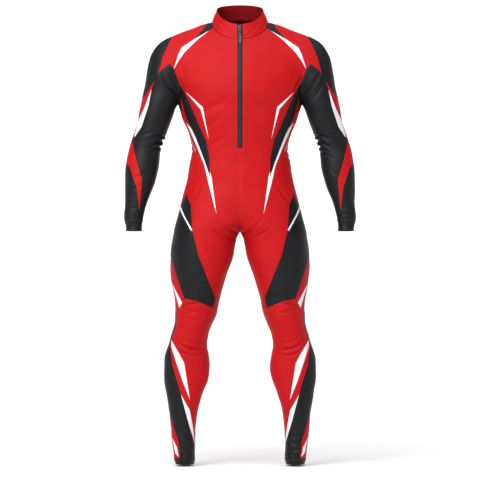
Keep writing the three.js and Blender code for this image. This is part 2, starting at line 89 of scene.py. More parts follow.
# ---- Sections, top to bottom ----
# From the neck seam over the shoulders to the underarm. Each section is a closed loop that
# lies higher at the shoulder ridge than at the front and back.
YOKE = table("ridge_z front_z back_z reach front back body_half arm_half arm_depth", [
    (18, -39, 26, 91, 76, 66, 91, 30, 30),
    (10, -57, 12, 122, 84, 82, 119, 38, 42),
    (-4, -78, -8, 160, 94, 95, 150, 48, 52),
    (-19, -99, -32, 200, 102, 105, 178, 56, 57),
    (-33, -120, -58, 236, 108, 111, 200, 60, 60),
    (-52, -141, -88, 266, 113, 115, 215, 62, 63),
    (-84, -162, -120, 287, 118, 118, 223, 63, 65),
    (-118, -184, -152, 298, 121, 119, 225, 63, 66),
    (-150, -206, -184, 304, 122, 118, 222, 62, 66),
    (-188, -226, -214, 309, 121, 116, 214, 61.5, 66),
    (-222, -242, -238, 318, 119, 113, 207, 61, 66),
    (-250, -250, -250, 323, 117, 110, 201, 61, 66),
])

# The body below the underarm. Overlap is how far each leg's oval reaches past the centre line.
BODY = table("z half front back overlap", [
    (-250, 201, 117, 110, 201),
    (-300, 185, 113, 105, 185),
    (-344, 167, 107, 99, 167),
    (-395, 156, 102, 95, 156),
    (-442, 164, 102, 99, 164),
    (-500, 174, 104, 110, 174),
    (-556, 189, 106, 122, 150),
    (-600, 200, 106, 128, 100),
    (-632, 208, 104, 127, 56),
    (-652, 213, 102, 122, 20),
    (-660, 215, 101, 118, 6),
    (-664, 216, 100, 116, 0),
])

LEG = table("z outer inner front back middle", [
    (-664, 216, 0, 100, 116, 0),
    (-676, 218, 8, 100, 113, 0),
    (-700, 222, 14, 99, 108, 0),
    (-735, 226, 20, 98, 102, 0),
    (-815, 224, 47, 93, 86, 0),
    (-890, 211, 68, 83, 68, -4),
    (-930, 211, 76, 77, 60, -5),
    (-965, 214, 91, 71, 59, -4),
    (-1000, 224, 103, 65, 63, -2),
    (-1030, 233, 107, 60, 69, 0),
    (-1066, 244, 101, 56, 76, 2),
    (-1105, 247, 98, 54, 80, 3),
    (-1144, 247, 104, 52, 78, 3),
    (-1183, 240, 120, 50, 71, 2),
    (-1261, 229, 140, 45, 58, 2),
    (-1345, 221, 146, 42, 49, 2),
    (-1385, 216, 146, 43, 48, 2),
    (-1404, 214, 146, 43, 48, 2),
    (-1418, 209, 150, 40, 45, 2),
])

SLEEVE = table("z outer inner front back middle", [
    (-250, 323, 201, 66, 66, 0),
    (-260, 325, 208, 65, 66, 0),
    (-278, 328, 214, 64, 65, 0),
    (-305, 332, 224, 62, 64, 0),
    (-344, 345, 239, 57, 61, 0),
    (-383, 358, 254, 53, 57, -3),
    (-461, 372, 265, 53, 48, -14),
    (-500, 373, 275, 49, 44, -20),
    (-579, 373, 304, 36, 34, -32),
    (-618, 375, 314, 32, 31, -38),
    (-660, 368, 318, 30, 30, -44),
])

COLLAR = table("ridge_z front_z back_z reach front back body_half arm_half arm_depth", [
    (60, 9, 75, 75, 65, 53, 75, 30, 20),
    (50, -3, 62, 78, 67, 56, 78, 30, 22),
    (37, -19, 45, 84, 71, 61, 84, 30, 26),
    (18, -39, 26, 91, 76, 66, 91, 30, 30),
])

# ---- Seams, as (distance out, height) points; each runs through front and back alike ----
SEAMS = {
    "raglan": [(70, 40), (84, 0), (149, -38), (189, -65), (199, -87), (214, -134)],
    "wedge": [(149, -38), (116, -1), (102, 34)],
    "shoulder": [(211, -10), (230, -48), (251, -96), (264, -149)],
    "shoulder_point": [(264, -149), (230, -118), (214, -134)],
    "band": [(214, -134), (205, -160), (170, -230), (131, -322), (110, -367), (99, -420), (97, -484)],
    "band_outer": [(203, -303), (191, -270), (192, -226), (175, -292), (143, -359), (114, -434), (97, -484)],
    "armhole": [(264, -149), (228, -205), (199, -262)],
    "elbow": [(356, -360), (344, -354), (319, -346), (292, -351), (238, -389)],
    "cuff": [(400, -617), (345, -620), (290, -617)],
    "thigh_inner": [
        (206, -590), (193, -580), (187, -561), (174, -542), (159, -576), (155, -653),
        (135, -735), (106, -807), (78, -878), (86, -907),
    ],
    "hip_line": [(193, -580), (181, -608), (155, -653)],
    "knee_top": [(220, -905), (196, -907), (180, -877), (135, -886), (86, -907), (56, -924)],
    "thigh_outer": [(240, -730), (225, -749), (202, -816), (180, -877)],
    "knee_bottom": [(223, -1010), (208, -1010), (168, -1038), (145, -1040), (123, -1024), (80, -962)],
    "calf_inner": [
        (216, -902), (205, -928), (207, -965), (226, -1021), (228, -1038),
        (219, -1098), (200, -1158), (167, -1281), (150, -1337), (143, -1366),
    ],
    "calf_outer": [(244, -1230), (232, -1248), (200, -1343), (195, -1398)],
    "hem": [(250, -1395), (180, -1398), (120, -1395)],
}

# Seams that part the front from the back lie in the plane y = 0.
SIDE_SEAMS = table("out_from out_to top bottom", [
    (120, 230, -272, -584),
    (-110, 110, -640, -916),
])

# ---- The panels of one side ----
# Name, colour, a point on or near each, and the flat cut: its width, its length and the share
# of that rectangle which it fills. The worn cloth is 7 to 13% larger in area than its cut.
PANELS = table("name colour x y z width length share", [
    ("front", "red", 60, -118, -250, 290, 950, 0.53),
    ("back", "red", 60, 115, -250, 290, 960, 0.55),
    ("neck_wedge", "black", 108, -20, 6, 60, 130, 0.55),
    ("shoulder", "red", 180, 0, -14, 150, 300, 0.48),
    ("underarm", "black", 170, -70, -260, 120, 420, 0.57),
    ("sleeve", "black", 300, -50, -240, 340, 340, 0.67),
    ("forearm", "black", 320, -60, -480, 300, 280, 0.85),
    ("cuff", "black", 345, -70, -640, 200, 42, 0.83),
    ("hip_front", "black", 170, -50, -570, 50, 110, 0.58),
    ("hip_back", "black", 170, 60, -570, 50, 110, 0.65),
    ("thigh", "black", 170, -90, -740, 400, 330, 0.5),
    ("thigh_side", "red", 218, 0, -830, 150, 170, 0.68),
    ("knee", "red", 145, -75, -950, 320, 165, 0.8),
    ("shin", "red", 130, -50, -1120, 300, 350, 0.63),
    ("calf", "black", 235, 0, -1140, 240, 480, 0.47),
    ("ankle", "red", 221, 0, -1345, 100, 150, 0.68),
    ("hem", "black", 180, -42, -1408, 230, 24, 0.9),
])


# ---- The surface of one half ----
def along_rows(rows, places, at):
    """Every column of a table at the given places, on cubic curves through its rows."""
    places = np.asarray(places, float)
    gap = np.abs(np.diff(places))
    i = np.clip(np.searchsorted(gap.cumsum(), np.abs(at - places[0]) - 1e-9), 0, len(gap) - 1)
    span = places[i + 1] - places[i]
    t = (at - places[i]) / span
    result = {}
    for name in rows[0]:
        value = np.array([row[name] for row in rows], float)
        step = np.diff(value) / np.diff(places)
        inner = (step[:-1] * gap[1:] + step[1:] * gap[:-1]) / (gap[:-1] + gap[1:])
        slope = np.concatenate([step[:1], inner, step[-1:]])
        result[name] = (
            value[i] * (1 + 2 * t) * (1 - t) ** 2 + value[i + 1] * t * t * (3 - 2 * t)
            + slope[i] * span * t * (1 - t) ** 2 - slope[i + 1] * span * t * t * (1 - t)
        )
    return result


def oval(x, centre, half, depth):
    return depth * np.sqrt(np.maximum(0, 1 - ((x - centre) / half) ** 2))


def there_and_back(front, back):
    """Loops that run along the front and return along the back."""
    return np.concatenate([front, back[:, -2::-1]], axis=1)


def yoke_grid(row, body_steps, arm_steps):
    """Loops round the shoulders: one row of points for each section."""
    row = {name: value[:, None] for name, value in row.items()}
    groove = row["reach"] - 2 * row["arm_half"]
    over_body = groove * np.sin(pi / 2 * np.arange(body_steps) / body_steps)
    over_arm = groove + row["arm_half"] * (1 - np.cos(pi * np.arange(arm_steps + 1) / arm_steps))
    x = np.concatenate([over_body, over_arm], axis=1)
    arm = oval(x, row["reach"] - row["arm_half"], row["arm_half"], row["arm_depth"])

    def side(depth, far_z, sign):
        away = (oval(x, 0, row["body_half"], depth) ** 6 + arm ** 6) ** (1 / 6)
        z = row["ridge_z"] + (far_z - row["ridge_z"]) * away / depth
        return np.stack([x, sign * away, z], axis=2)

    return there_and_back(side(row["front"], row["front_z"], -1), side(row["back"], row["back_z"], 1))


def oval_grid(z, inner, outer, front, back, middle, steps):
    """Loops round the body or a limb, cut off at the centre line where an oval crosses it."""
    centre = (inner + outer) / 2
    half = (outer - inner) / 2
    start = np.where(inner < 0, np.arccos(np.clip(centre / half, -1, 1)), 0)
    angle = start[:, None] + (pi - start)[:, None] * np.arange(steps + 1) / steps
    x = centre[:, None] - half[:, None] * np.cos(angle)
    level = np.repeat(z[:, None], steps + 1, axis=1)

    def side(depth, sign):
        y = middle[:, None] + sign * depth[:, None] * np.sin(angle)
        return np.stack([x, y, level], axis=2)

    return there_and_back(side(front, -1), side(back, 1))


def levels(rows):
    """Heights from the top row of a table to its bottom row, about one pitch apart."""
    heights = [np.array([rows[0]["z"]], float)]
    for above, below in zip(rows, rows[1:]):
        count = max(1, round((above["z"] - below["z"]) / PITCH))
        heights.append(np.linspace(above["z"], below["z"], count + 1)[1:])
    return np.concatenate(heights)


def weld(grids):
    """One mesh from strips of loops: its points, and its faces with outward winding."""
    points = []
    quads = []
    start = 0
    for grid in grids:
        rows, columns = grid.shape[:2]
        number = start + np.arange(rows * columns).reshape(rows, columns)
        corners = [number[:-1, :-1], number[1:, :-1], number[1:, 1:], number[:-1, 1:]]
        quads.append(np.stack([corner.ravel() for corner in corners], axis=1))
        points.append(grid.reshape(-1, 3))
        start += rows * columns
    points = np.concatenate(points)
    quads = np.concatenate(quads)
    _, first, place = np.unique(
        np.round(points * CELLS_PER_MM + CELL_SHIFT).astype(np.int64), axis=0,
        return_index=True, return_inverse=True,
    )
    points = points[first]
    a, b, c, d = place.ravel()[quads].T
    short = np.linalg.norm(points[a] - points[c], axis=1) <= np.linalg.norm(points[b] - points[d], axis=1)
    faces = np.concatenate([
        np.stack([a, b, np.where(short, c, d)], axis=1),
        np.stack([np.where(short, a, b), c, d], axis=1),
    ])
    whole = (faces[:, 0] != faces[:, 1]) & (faces[:, 1] != faces[:, 2]) & (faces[:, 2] != faces[:, 0])
    return points, faces[whole]


def face_normals(points, faces):
    a, b, c = points[faces[:, 0]], points[faces[:, 1]], points[faces[:, 2]]
    return np.cross(b - a, c - a)


def point_normals(points, faces):
    normals = np.zeros_like(points)
    area = face_normals(points, faces)
    for corner in range(3):
        np.add.at(normals, faces[:, corner], area)
    return normals / np.maximum(np.linalg.norm(normals, axis=1, keepdims=True), 1e-12)


def outward(points, faces):
    """Point normals of one side, level across the centre line so that both sides meet there."""
    normals = point_normals(points, faces)
    normals[np.abs(points[:, 0]) < ON_CENTRE, 0] = 0
    return normals / np.maximum(np.linalg.norm(normals, axis=1, keepdims=True), 1e-12)


def edges_of(faces):
    """Each face's three edges as sorted pairs, face by face."""
    edges = np.stack([faces, np.roll(faces, -1, axis=1)], axis=2).reshape(-1, 2)
    return np.sort(edges, axis=1)


def smoothed(points, faces, times):
    """Evens the surface out without shrinking it. Open edges stay, but for the centre line."""
    edges, uses = np.unique(edges_of(faces), axis=0, return_counts=True)
    rim = np.zeros(len(points), bool)
    rim[edges[uses == 1].ravel()] = True
    centre = rim & (np.abs(points[:, 0]) < ON_CENTRE)
    held = rim & ~centre
    count = np.bincount(edges.ravel(), minlength=len(points))[:, None]
    for _ in range(times):
        for step in SMOOTHING_SHARES:
            total = np.zeros_like(points)
            for axis in range(3):
                total[:, axis] = (
                    np.bincount(edges[:, 0], points[edges[:, 1], axis], len(points))
                    + np.bincount(edges[:, 1], points[edges[:, 0], axis], len(points))
                )
            move = step * (total / count - points)
            move[held] = 0
            move[centre, 0] = 0
            points = points + move
    return points


def limb_grid(rows, z, steps):
    """Loops round a limb at each height."""
    row = along_rows(rows, [r["z"] for r in rows], z)
    sizes = [row[name] for name in ("inner", "outer", "front", "back", "middle")]
    return oval_grid(z, *sizes, steps)


def half_suit():
    """The wearer's left half of the suit below the collar, smooth and without folds."""
    steps = np.arange(len(YOKE), dtype=float)
    rows = np.concatenate([np.linspace(i, i + 1, YOKE_ROWS)[:-1] for i in steps[:-1]] + [steps[-1:]])
    yoke = yoke_grid(along_rows(YOKE, steps, rows), BODY_STEPS, ARM_STEPS)
    z = levels(BODY)
    row = along_rows(BODY, [r["z"] for r in BODY], z)
    level = np.zeros(len(z))
    body = oval_grid(z, -row["overlap"], row["half"], row["front"], row["back"], level, BODY_STEPS)
    leg = limb_grid(LEG, levels(LEG), BODY_STEPS)
    sleeve = limb_grid(SLEEVE, levels(SLEEVE), ARM_STEPS)
    points, faces = weld([yoke, body, leg, sleeve])
    return smoothed(points, faces, SMOOTHING), faces


# ---- Folds: soft troughs between low swells ----
# Each lies across (distance out, height), turned by a slope in degrees, and bends by a rise at its
# ends. Face is -1 on the front, 1 on the back and 0 all round. Side is 1 on the wearer's left,
# -1 on the right and 0 on both.
FOLDS = table("out z slope half_length half_width depth bend face side", [
    # knees: arcs that bow up above the knee cap and down below it
    (150, -893, -8, 40, 4.5, 4.4, -5, -1, 0),
    (156, -921, -3, 32, 5, 3.1, -6, -1, 0),
    (172, -908, 20, 20, 4, 2.1, -2, -1, 1),
    (166, -912, 14, 22, 4, 2, 2, -1, -1),
    (160, -1042, 12, 42, 5, 4.4, 9, -1, 0),
    (166, -1060, 10, 30, 4.5, 3.2, 6, -1, 0),
    (156, -1020, 8, 32, 4.5, 2.4, 7, -1, 0),
    (184, -1074, 26, 20, 4, 1.7, 2, -1, -1),
    # backs of the knees
    (146, -958, 3, 46, 5, 4.4, 6, 1, 0),
    (150, -974, -4, 40, 4.5, 3.6, -4, 1, 0),
    (140, -940, 8, 34, 4.5, 3.1, 5, 1, 1),
    (160, -990, -9, 36, 5, 3.1, -5, 1, -1),
    # elbows: troughs that start at the inner bend
    (262, -352, -10, 30, 5, 3.7, -6, -1, 0),
    (258, -372, -17, 34, 5, 5.4, -7, -1, 0),
    (266, -391, -20, 30, 4.5, 4.4, -6, -1, 0),
    (276, -409, -26, 26, 4.5, 3.1, -4, -1, 1),
    (318, -343, 6, 30, 4.5, 3.1, 5, -1, 0),
    (330, -372, -12, 20, 5, 2, 2, -1, -1),
    (300, -356, 4, 34, 5, 4.1, 5, 1, 0),
    (304, -378, -6, 30, 5, 3.4, -5, 1, 0),
    (246, -366, 0, 12, 4, 4.4, 0, 0, 0),
    (252, -386, 0, 12, 4, 4.1, 0, 0, 0),
    # armpits, front and back
    (242, -178, 57, 34, 5, 4.8, 4, -1, 0),
    (222, -196, 55, 32, 4.5, 3.7, 3, -1, 0),
    (256, -206, 62, 26, 4.5, 2.7, 3, -1, 1),
    (196, -172, 66, 26, 5, 3.1, 3, -1, 0),
    (182, -188, 64, 22, 4.5, 1.8, -3, -1, 1),
    (240, -190, 55, 38, 5.5, 4.8, -4, 1, 0),
    (220, -210, 50, 34, 5, 3.7, -3, 1, 0),
    (198, -186, 60, 30, 5, 3.1, 3, 1, -1),
    # gathers beside the armhole, and soft drags below the chest
    (198, -150, 34, 13, 3.6, 1.5, 1, -1, 0),
    (191, -167, 27, 14, 3.4, 1.6, -1, -1, 0),
    (184, -184, 20, 12, 3.4, 1.2, 1, -1, 1),
    (92, -262, -24, 58, 12, 2.4, 8, -1, 0),
    (66, -298, -30, 50, 10, 1.6, 6, -1, 1),
    (108, -322, -36, 46, 9, 1.7, -5, -1, -1),
    (86, -378, -26, 44, 9, 1.5, 5, -1, 0),
    (110, -250, 12, 60, 12, 2.2, -8, 1, 0),
    (90, -318, 20, 50, 10, 1.6, 6, 1, 0),
    # waist and hips
    (146, -548, -52, 34, 6, 2.7, 5, -1, 0),
    (128, -528, -48, 24, 5, 1.4, 3, -1, 1),
    (150, -402, 4, 24, 5, 1.7, 3, 0, 0),
    (152, -421, -6, 22, 5, 1.4, -3, 0, 1),
    (148, -384, 8, 20, 4.5, 1.4, 3, 0, -1),
    (60, -440, 4, 46, 7, 2.7, 6, 1, 0),
    (48, -418, -3, 40, 6, 1.7, -5, 1, 0),
    (70, -398, 6, 34, 6, 1.4, 4, 1, 1),
    # crotch and the seat
    (42, -648, 36, 40, 5.5, 3.4, 6, -1, 0),
    (62, -672, 26, 42, 5, 3.1, 5, -1, 0),
    (54, -706, 14, 32, 5, 1.8, 4, -1, 1),
    (50, -724, 20, 28, 5, 1.5, 3, -1, -1),
    (78, -690, 14, 52, 6.5, 5.1, -8, 1, 0),
    (60, -716, 8, 40, 5, 3.1, -5, 1, 0),
    # ankles
    (184, -1324, 20, 30, 5, 1.8, 4, 0, 0),
    (174, -1348, -26, 26, 4.5, 2.0, -3, 0, 1),
    (188, -1350, 30, 22, 4, 1.6, 2, 0, -1),
    (186, -1368, 17, 28, 4.5, 2.2, 4, 0, 0),
    (172, -1384, -18, 20, 4, 1.6, -3, 0, 0),
    (190, -1306, -12, 20, 4.5, 1.2, 3, 0, -1),
    # forearms and wrists
    (344, -585, -6, 24, 4.5, 1.5, 3, 0, 0),
    (338, -603, 5, 20, 4, 1.4, -3, 0, 1),
    (336, -520, -14, 26, 6, 1.3, 4, -1, -1),
    (316, -478, -30, 28, 6, 1.4, 4, -1, 0),
    # thighs and calves
    (120, -800, -34, 40, 8, 1.3, 6, -1, 0),
    (178, -1150, 58, 44, 8, 1.1, 5, -1, 0),
    (196, -1262, 70, 40, 6, 1.1, 4, 0, 0),
])

# Long, very low swells that keep the tight cloth from looking drawn with a ruler.
SWELLS = table("out z slope length width height", [
    (0, 0, 18, 210, 96, 0.55),
    (40, 70, -34, 170, 74, 0.45),
    (90, 30, 63, 130, 58, 0.3),
])


# The cuff and the hem are turned bands: full at the seam and the edge, and drawn in between.
BANDS = table("z half_width height out_from", [
    (-622, 5, 0.9, 290),
    (-640, 9, -0.8, 290),
    (-656, 4, 0.8, 290),
    (-1401, 3, 0.6, 100),
    (-1409, 4, -0.4, 100),
    (-1415, 3, 0.5, 100),
])


# Cloth counts as wholly front or back where its normal leans this far that way.
FULLY_TURNED = 0.5
# Folds and swells fade out this close to the hem and the cuff. Arms lie farther out than the last.
HEM_FADE = 14
CUFF_FADE = 12
ARM_FROM = 300


def turned_way(normals):
    """-1 on the front, 1 on the back, and between them round the sides."""
    return np.clip(normals[:, 1] / FULLY_TURNED, -1, 1)


def along_and_over(row, across, up):
    """Places along a fold or swell and across it, from its row's slope."""
    turn = radians(row["slope"])
    return across * cos(turn) + up * sin(turn), up * cos(turn) - across * sin(turn)


def fold_move(points, normals, side, folds):
    """How far the folds move each point of one side out along its normal."""
    out, z = points[:, 0], points[:, 2]
    facing = turned_way(normals)
    move = np.zeros(len(points))
    for fold in folds:
        if fold["side"] not in (0, side):
            continue
        along, over = along_and_over(fold, out - fold["out"], z - fold["z"])
        along = along / fold["half_length"]
        over = (over - fold["bend"] * along ** 2) / fold["half_width"]
        shape = (1 - over ** 2) * np.exp(-over ** 2 / 2 - along ** 4)
        shown = (1 + fold["face"] * facing) / 2 if fold["face"] else 1
        move -= fold["depth"] * shape * shown
    return move


def swell_move(points, normals, side):
    """How far the swells move each point of one side out along its normal."""
    out, z = points[:, 0], points[:, 2]
    facing = turned_way(normals)
    move = np.zeros(len(points))
    for swell in SWELLS:
        along, over = along_and_over(swell, out * side - swell["out"], z - swell["z"])
        wave = np.sin(2 * pi * along / swell["length"] + facing) * np.sin(2 * pi * over / swell["width"])
        move += swell["height"] * wave
    return move


def worn(points, normals, side):
    """One side of the suit with its folds and swells, which fade out at the cuff and the hem."""
    out, z = points[:, 0], points[:, 2]
    rim = np.exp(-((z - LEG[-1]["z"]) / HEM_FADE) ** 2)
    rim += np.exp(-((z - SLEEVE[-1]["z"]) / CUFF_FADE) ** 2) * (out > ARM_FROM)
    move = fold_move(points, normals, side, FOLDS) + swell_move(points, normals, side)
    move *= 1 - np.minimum(rim, 1)
    for band in BANDS:
        shape = np.exp(-((z - band["z"]) / band["half_width"]) ** 2)
        move += band["height"] * shape * (out > band["out_from"])
    return points + normals * move[:, None]


# ---- Parting the cloth ----
# How close to a cut, a seam or a side seam a point lies to be on it.
ON_CUT = 0.02
ON_SEAM = 0.05
ON_SIDE_SEAM = 0.04
# Points this close to a side seam are first moved onto its plane.
SIDE_SNAP = 0.8
# Cuts reach this much past their ends.
SLACK = 1
# Scraps between seams, in square millimetres, that join the panel beside them.
SCRAP_AREA = 60
SCRAP_ROUNDS = 3
ABOVE_COLLAR = 100
# Prints on the front alone end this far behind the middle plane.
PRINT_END = 10
# Edges sharper than these angles, in degrees, stay sharp on cloth and on trim.
CLOTH_SHARP = 60
TRIM_SHARP = 40


class Cloth:
    """The cloth of one side while it is parted: points, their normals, and faces."""

    def __init__(self, points, normals, faces):
        self.points = points
        self.normals = normals
        self.faces = faces

    def part(self, off, near):
        """Puts edges along off = 0 through the faces that are near, and keeps the mesh whole."""
        off = np.where(np.abs(off) < ON_CUT, 0.0, off)
        ends = off[self.faces]
        crossed = ends * np.roll(ends, -1, axis=1) < 0
        some = np.flatnonzero(crossed.any(axis=1))
        faces, crossed, near = self.faces[some], crossed[some], near[some]
        count = len(self.points)
        following = np.roll(faces, -1, axis=1)
        keys = np.minimum(faces, following) * count + np.maximum(faces, following)
        chosen = np.unique(keys[near[:, None] & crossed])
        if not len(chosen):
            return
        hit = crossed & np.isin(keys, chosen)
        a, b = chosen // count, chosen % count
        t = (off[a] / (off[a] - off[b]))[:, None]
        self.points = np.concatenate([self.points, self.points[a] * (1 - t) + self.points[b] * t])
        self.normals = np.concatenate([self.normals, self.normals[a] * (1 - t) + self.normals[b] * t])
        new = count + np.searchsorted(chosen, np.where(hit, keys, chosen[0]))
        number = hit.sum(axis=1)
        kept = np.ones(len(self.faces), bool)
        kept[some[number > 0]] = False
        pieces = [self.faces[kept]]
        for hits in (1, 2):
            rows = np.flatnonzero(number == hits)
            first = np.argmax(hit[rows], axis=1) if hits == 1 else (np.argmin(hit[rows], axis=1) + 1) % 3
            turn = (first[:, None] + np.arange(3)) % 3
            a, b, c = np.take_along_axis(faces[rows], turn, axis=1).T
            m, n, _ = np.take_along_axis(new[rows], turn, axis=1).T
            if hits == 1:
                pieces += [np.stack([a, m, c], axis=1), np.stack([m, b, c], axis=1)]
            else:
                pieces += [np.stack(k, axis=1) for k in ((m, b, n), (a, m, n), (a, n, c))]
        self.faces = np.concatenate(pieces)

    def part_along(self, start, end, where=None):
        """Puts edges along a straight line in (x, z), through front and back alike."""
        start, end = np.array(start, float), np.array(end, float)
        length = np.linalg.norm(end - start)
        way = (end - start) / length
        place = self.points[:, [0, 2]] - start
        along = (place @ way)[self.faces]
        near = (along.max(axis=1) > -SLACK) & (along.min(axis=1) < length + SLACK)
        if where is not None:
            near &= where(self.points[self.faces].mean(axis=1))
        self.part(place @ np.array([-way[1], way[0]]), near)


def distance_to(line, x, z, longer=0.0):
    """How far the points (x, z) lie from a line of several steps, made longer at both ends."""
    line = [np.array(point, float) for point in line]
    nearest = np.full(len(x), np.inf)
    for k, (start, end) in enumerate(zip(line, line[1:])):
        length = np.linalg.norm(end - start)
        way = (end - start) / length
        low = -longer if k == 0 else 0
        high = length + (longer if k == len(line) - 2 else 0)
        along = np.clip((x - start[0]) * way[0] + (z - start[1]) * way[1], low, high)
        away = np.hypot(x - start[0] - along * way[0], z - start[1] - along * way[1])
        nearest = np.minimum(nearest, away)
    return nearest


def joined_groups(count, pairs):
    """A number for each of count faces, the same for faces that pairs join."""
    root = np.arange(count)
    while True:
        a, b = root[pairs[:, 0]], root[pairs[:, 1]]
        differ = a != b
        if not differ.any():
            return root
        np.minimum.at(root, np.maximum(a, b)[differ], np.minimum(a, b)[differ])
        while (root[root] != root).any():
            root = root[root]


def inside(outline, x, z):
    """Which of the points (x, z) lie inside a closed outline."""
    found = np.zeros(len(x), bool)
    for (x1, z1), (x2, z2) in zip(outline, outline[1:] + outline[:1]):
        if z1 != z2:
            found ^= ((z1 > z) != (z2 > z)) & (x < x1 + (z - z1) * (x2 - x1) / (z2 - z1))
    return found


def steps_of(line, closed=False):
    return list(zip(line, line[1:] + line[:1])) if closed else list(zip(line, line[1:]))


# ---- Printed shapes: plain tapered flashes, level with the cloth ----
# Each has the panels it is printed on, its colour, its face (-1 front only, 0 all round)
# and its outline as (distance out, height) points. What falls outside its panels isn't printed.
PRINTS = table("name panels colour face outline", [
    ("chest", ["front"], "white", -1, [(176, -209), (120, -259), (101, -362), (127, -266)]),
    ("raglan", ["front", "back"], "white", 0, [
        (88, 0), (152, -35), (194, -63), (205, -87), (215, -137), (198, -108), (180, -82), (140, -42),
    ]),
    ("waist", ["front", "back"], "white", 0, [
        (174, -308), (138, -352), (106, -434), (92, -484), (76, -603), (101, -508), (115, -446), (145, -374),
    ]),
    ("waist_outer", ["front", "back"], "white", 0, [(166, -344), (149, -392), (118, -456), (143, -404)]),
    ("hip", ["thigh"], "white", 0, [
        (190, -578), (178, -606), (152, -654), (158, -658), (184.5, -611), (198, -582),
    ]),
    ("thigh", ["thigh_side"], "white", 0, [(222, -826), (206, -856), (187, -891), (196, -909), (208, -869)]),
    ("shin", ["shin"], "white", 0, [
        (223, -1013), (196, -1058), (181, -1086), (162, -1206), (185, -1148), (207, -1084), (223, -1032),
    ]),
    ("ankle", ["shin"], "white", 0, [
        (192, -1188), (163, -1240), (154, -1288), (146, -1350), (158, -1337), (180, -1275),
    ]),
    ("ankle_outer", ["ankle"], "white", 0, [(221, -1330), (205, -1360), (199, -1392), (210, -1381)]),
    ("upper_arm", ["sleeve"], "red", 0, [(276, -172), (322, -242), (338, -262), (348, -330), (345, -360)]),
    ("upper_arm_edge", ["sleeve"], "white", 0, [
        (286, -200), (311, -264), (328, -298), (346, -362), (334, -344), (319, -322), (296, -254),
    ]),
    ("forearm", ["forearm"], "red", 0, [
        (351, -362), (335, -431), (316, -496), (325, -592),
        (334, -518), (356, -455), (372, -430), (366, -380),
    ]),
])


def near_side_seam(points, seam):
    out, z = points[:, 0], points[:, 2]
    return (
        (out > seam["out_from"] - SLACK) & (out < seam["out_to"] + SLACK)
        & (z < seam["top"] + SLACK) & (z > seam["bottom"] - SLACK)
    )


def part_seams(cloth):
    """Puts edges along every seam, the zip's slot and every printed outline."""
    for seam in SIDE_SEAMS:
        close = near_side_seam(cloth.points, seam) & (np.abs(cloth.points[:, 1]) < SIDE_SNAP)
        cloth.points[close, 1] = 0
        near = near_side_seam(cloth.points, seam)[cloth.faces].any(axis=1)
        cloth.part(cloth.points[:, 1].copy(), near)
    for line in SEAMS.values():
        for start, end in steps_of(line):
            cloth.part_along(start, end)
    slot = ZIP_WIDTH / 2
    corner = (slot, ZIP_BOTTOM)
    for start in ((slot, ABOVE_COLLAR), (-SLACK, ZIP_BOTTOM)):
        cloth.part_along(start, corner, lambda middle: middle[:, 1] < 0)
    middle = cloth.points[cloth.faces].mean(axis=1)
    zip_slot = (middle[:, 0] < slot) & (middle[:, 2] > ZIP_BOTTOM) & (middle[:, 1] < 0)
    cloth.faces = cloth.faces[~zip_slot]
    for shape in PRINTS:
        where = (lambda middle: middle[:, 1] < PRINT_END) if shape["face"] else None
        for start, end in steps_of(shape["outline"], closed=True):
            cloth.part_along(start, end, where)


def sewn_edges(cloth, edges):
    """Which edges lie on a seam."""
    out, y, z = cloth.points.T
    sewn = np.zeros(len(edges), bool)
    for line in SEAMS.values():
        some = np.flatnonzero((distance_to(line, out, z, SLACK) < ON_SEAM)[edges].all(axis=1))
        middle = cloth.points[edges[some]].mean(axis=1)
        sewn[some[distance_to(line, middle[:, 0], middle[:, 2], SLACK) < ON_SEAM]] = True
    for seam in SIDE_SEAMS:
        on = (np.abs(y) < ON_SIDE_SEAM) & near_side_seam(cloth.points, seam)
        sewn |= on[edges].all(axis=1)
    return sewn


def panel_faces(cloth):
    """The faces of each panel by name. A sliver left between seams goes with its neighbour."""
    edges, place, uses = np.unique(edges_of(cloth.faces), axis=0, return_inverse=True, return_counts=True)
    order = np.argsort(place.ravel(), kind="stable")
    first = np.concatenate([[0], np.cumsum(uses)[:-1]])
    shared = np.flatnonzero(uses == 2)
    pairs = np.stack([order[first[shared]] // 3, order[first[shared] + 1] // 3], axis=1)
    sewn = sewn_edges(cloth, edges)[shared]
    group = joined_groups(len(cloth.faces), pairs[~sewn])
    area = np.linalg.norm(face_normals(cloth.points, cloth.faces), axis=1) / 2
    for _ in range(SCRAP_ROUNDS):
        size = np.bincount(group, area, len(group))
        small = size[group] < SCRAP_AREA
        for one, other in (pairs[sewn].T, pairs[sewn][:, ::-1].T):
            joins = small[one] & ~small[other]
            group[one[joins]] = group[other[joins]]
    corners = cloth.points[cloth.faces]
    found = {}
    for panel in PANELS:
        probe = np.array([panel["x"], panel["y"], panel["z"]])
        away = np.linalg.norm(corners - probe, axis=2).min(axis=1)
        found[panel["name"]] = group == group[np.argmin(away)]
    return found


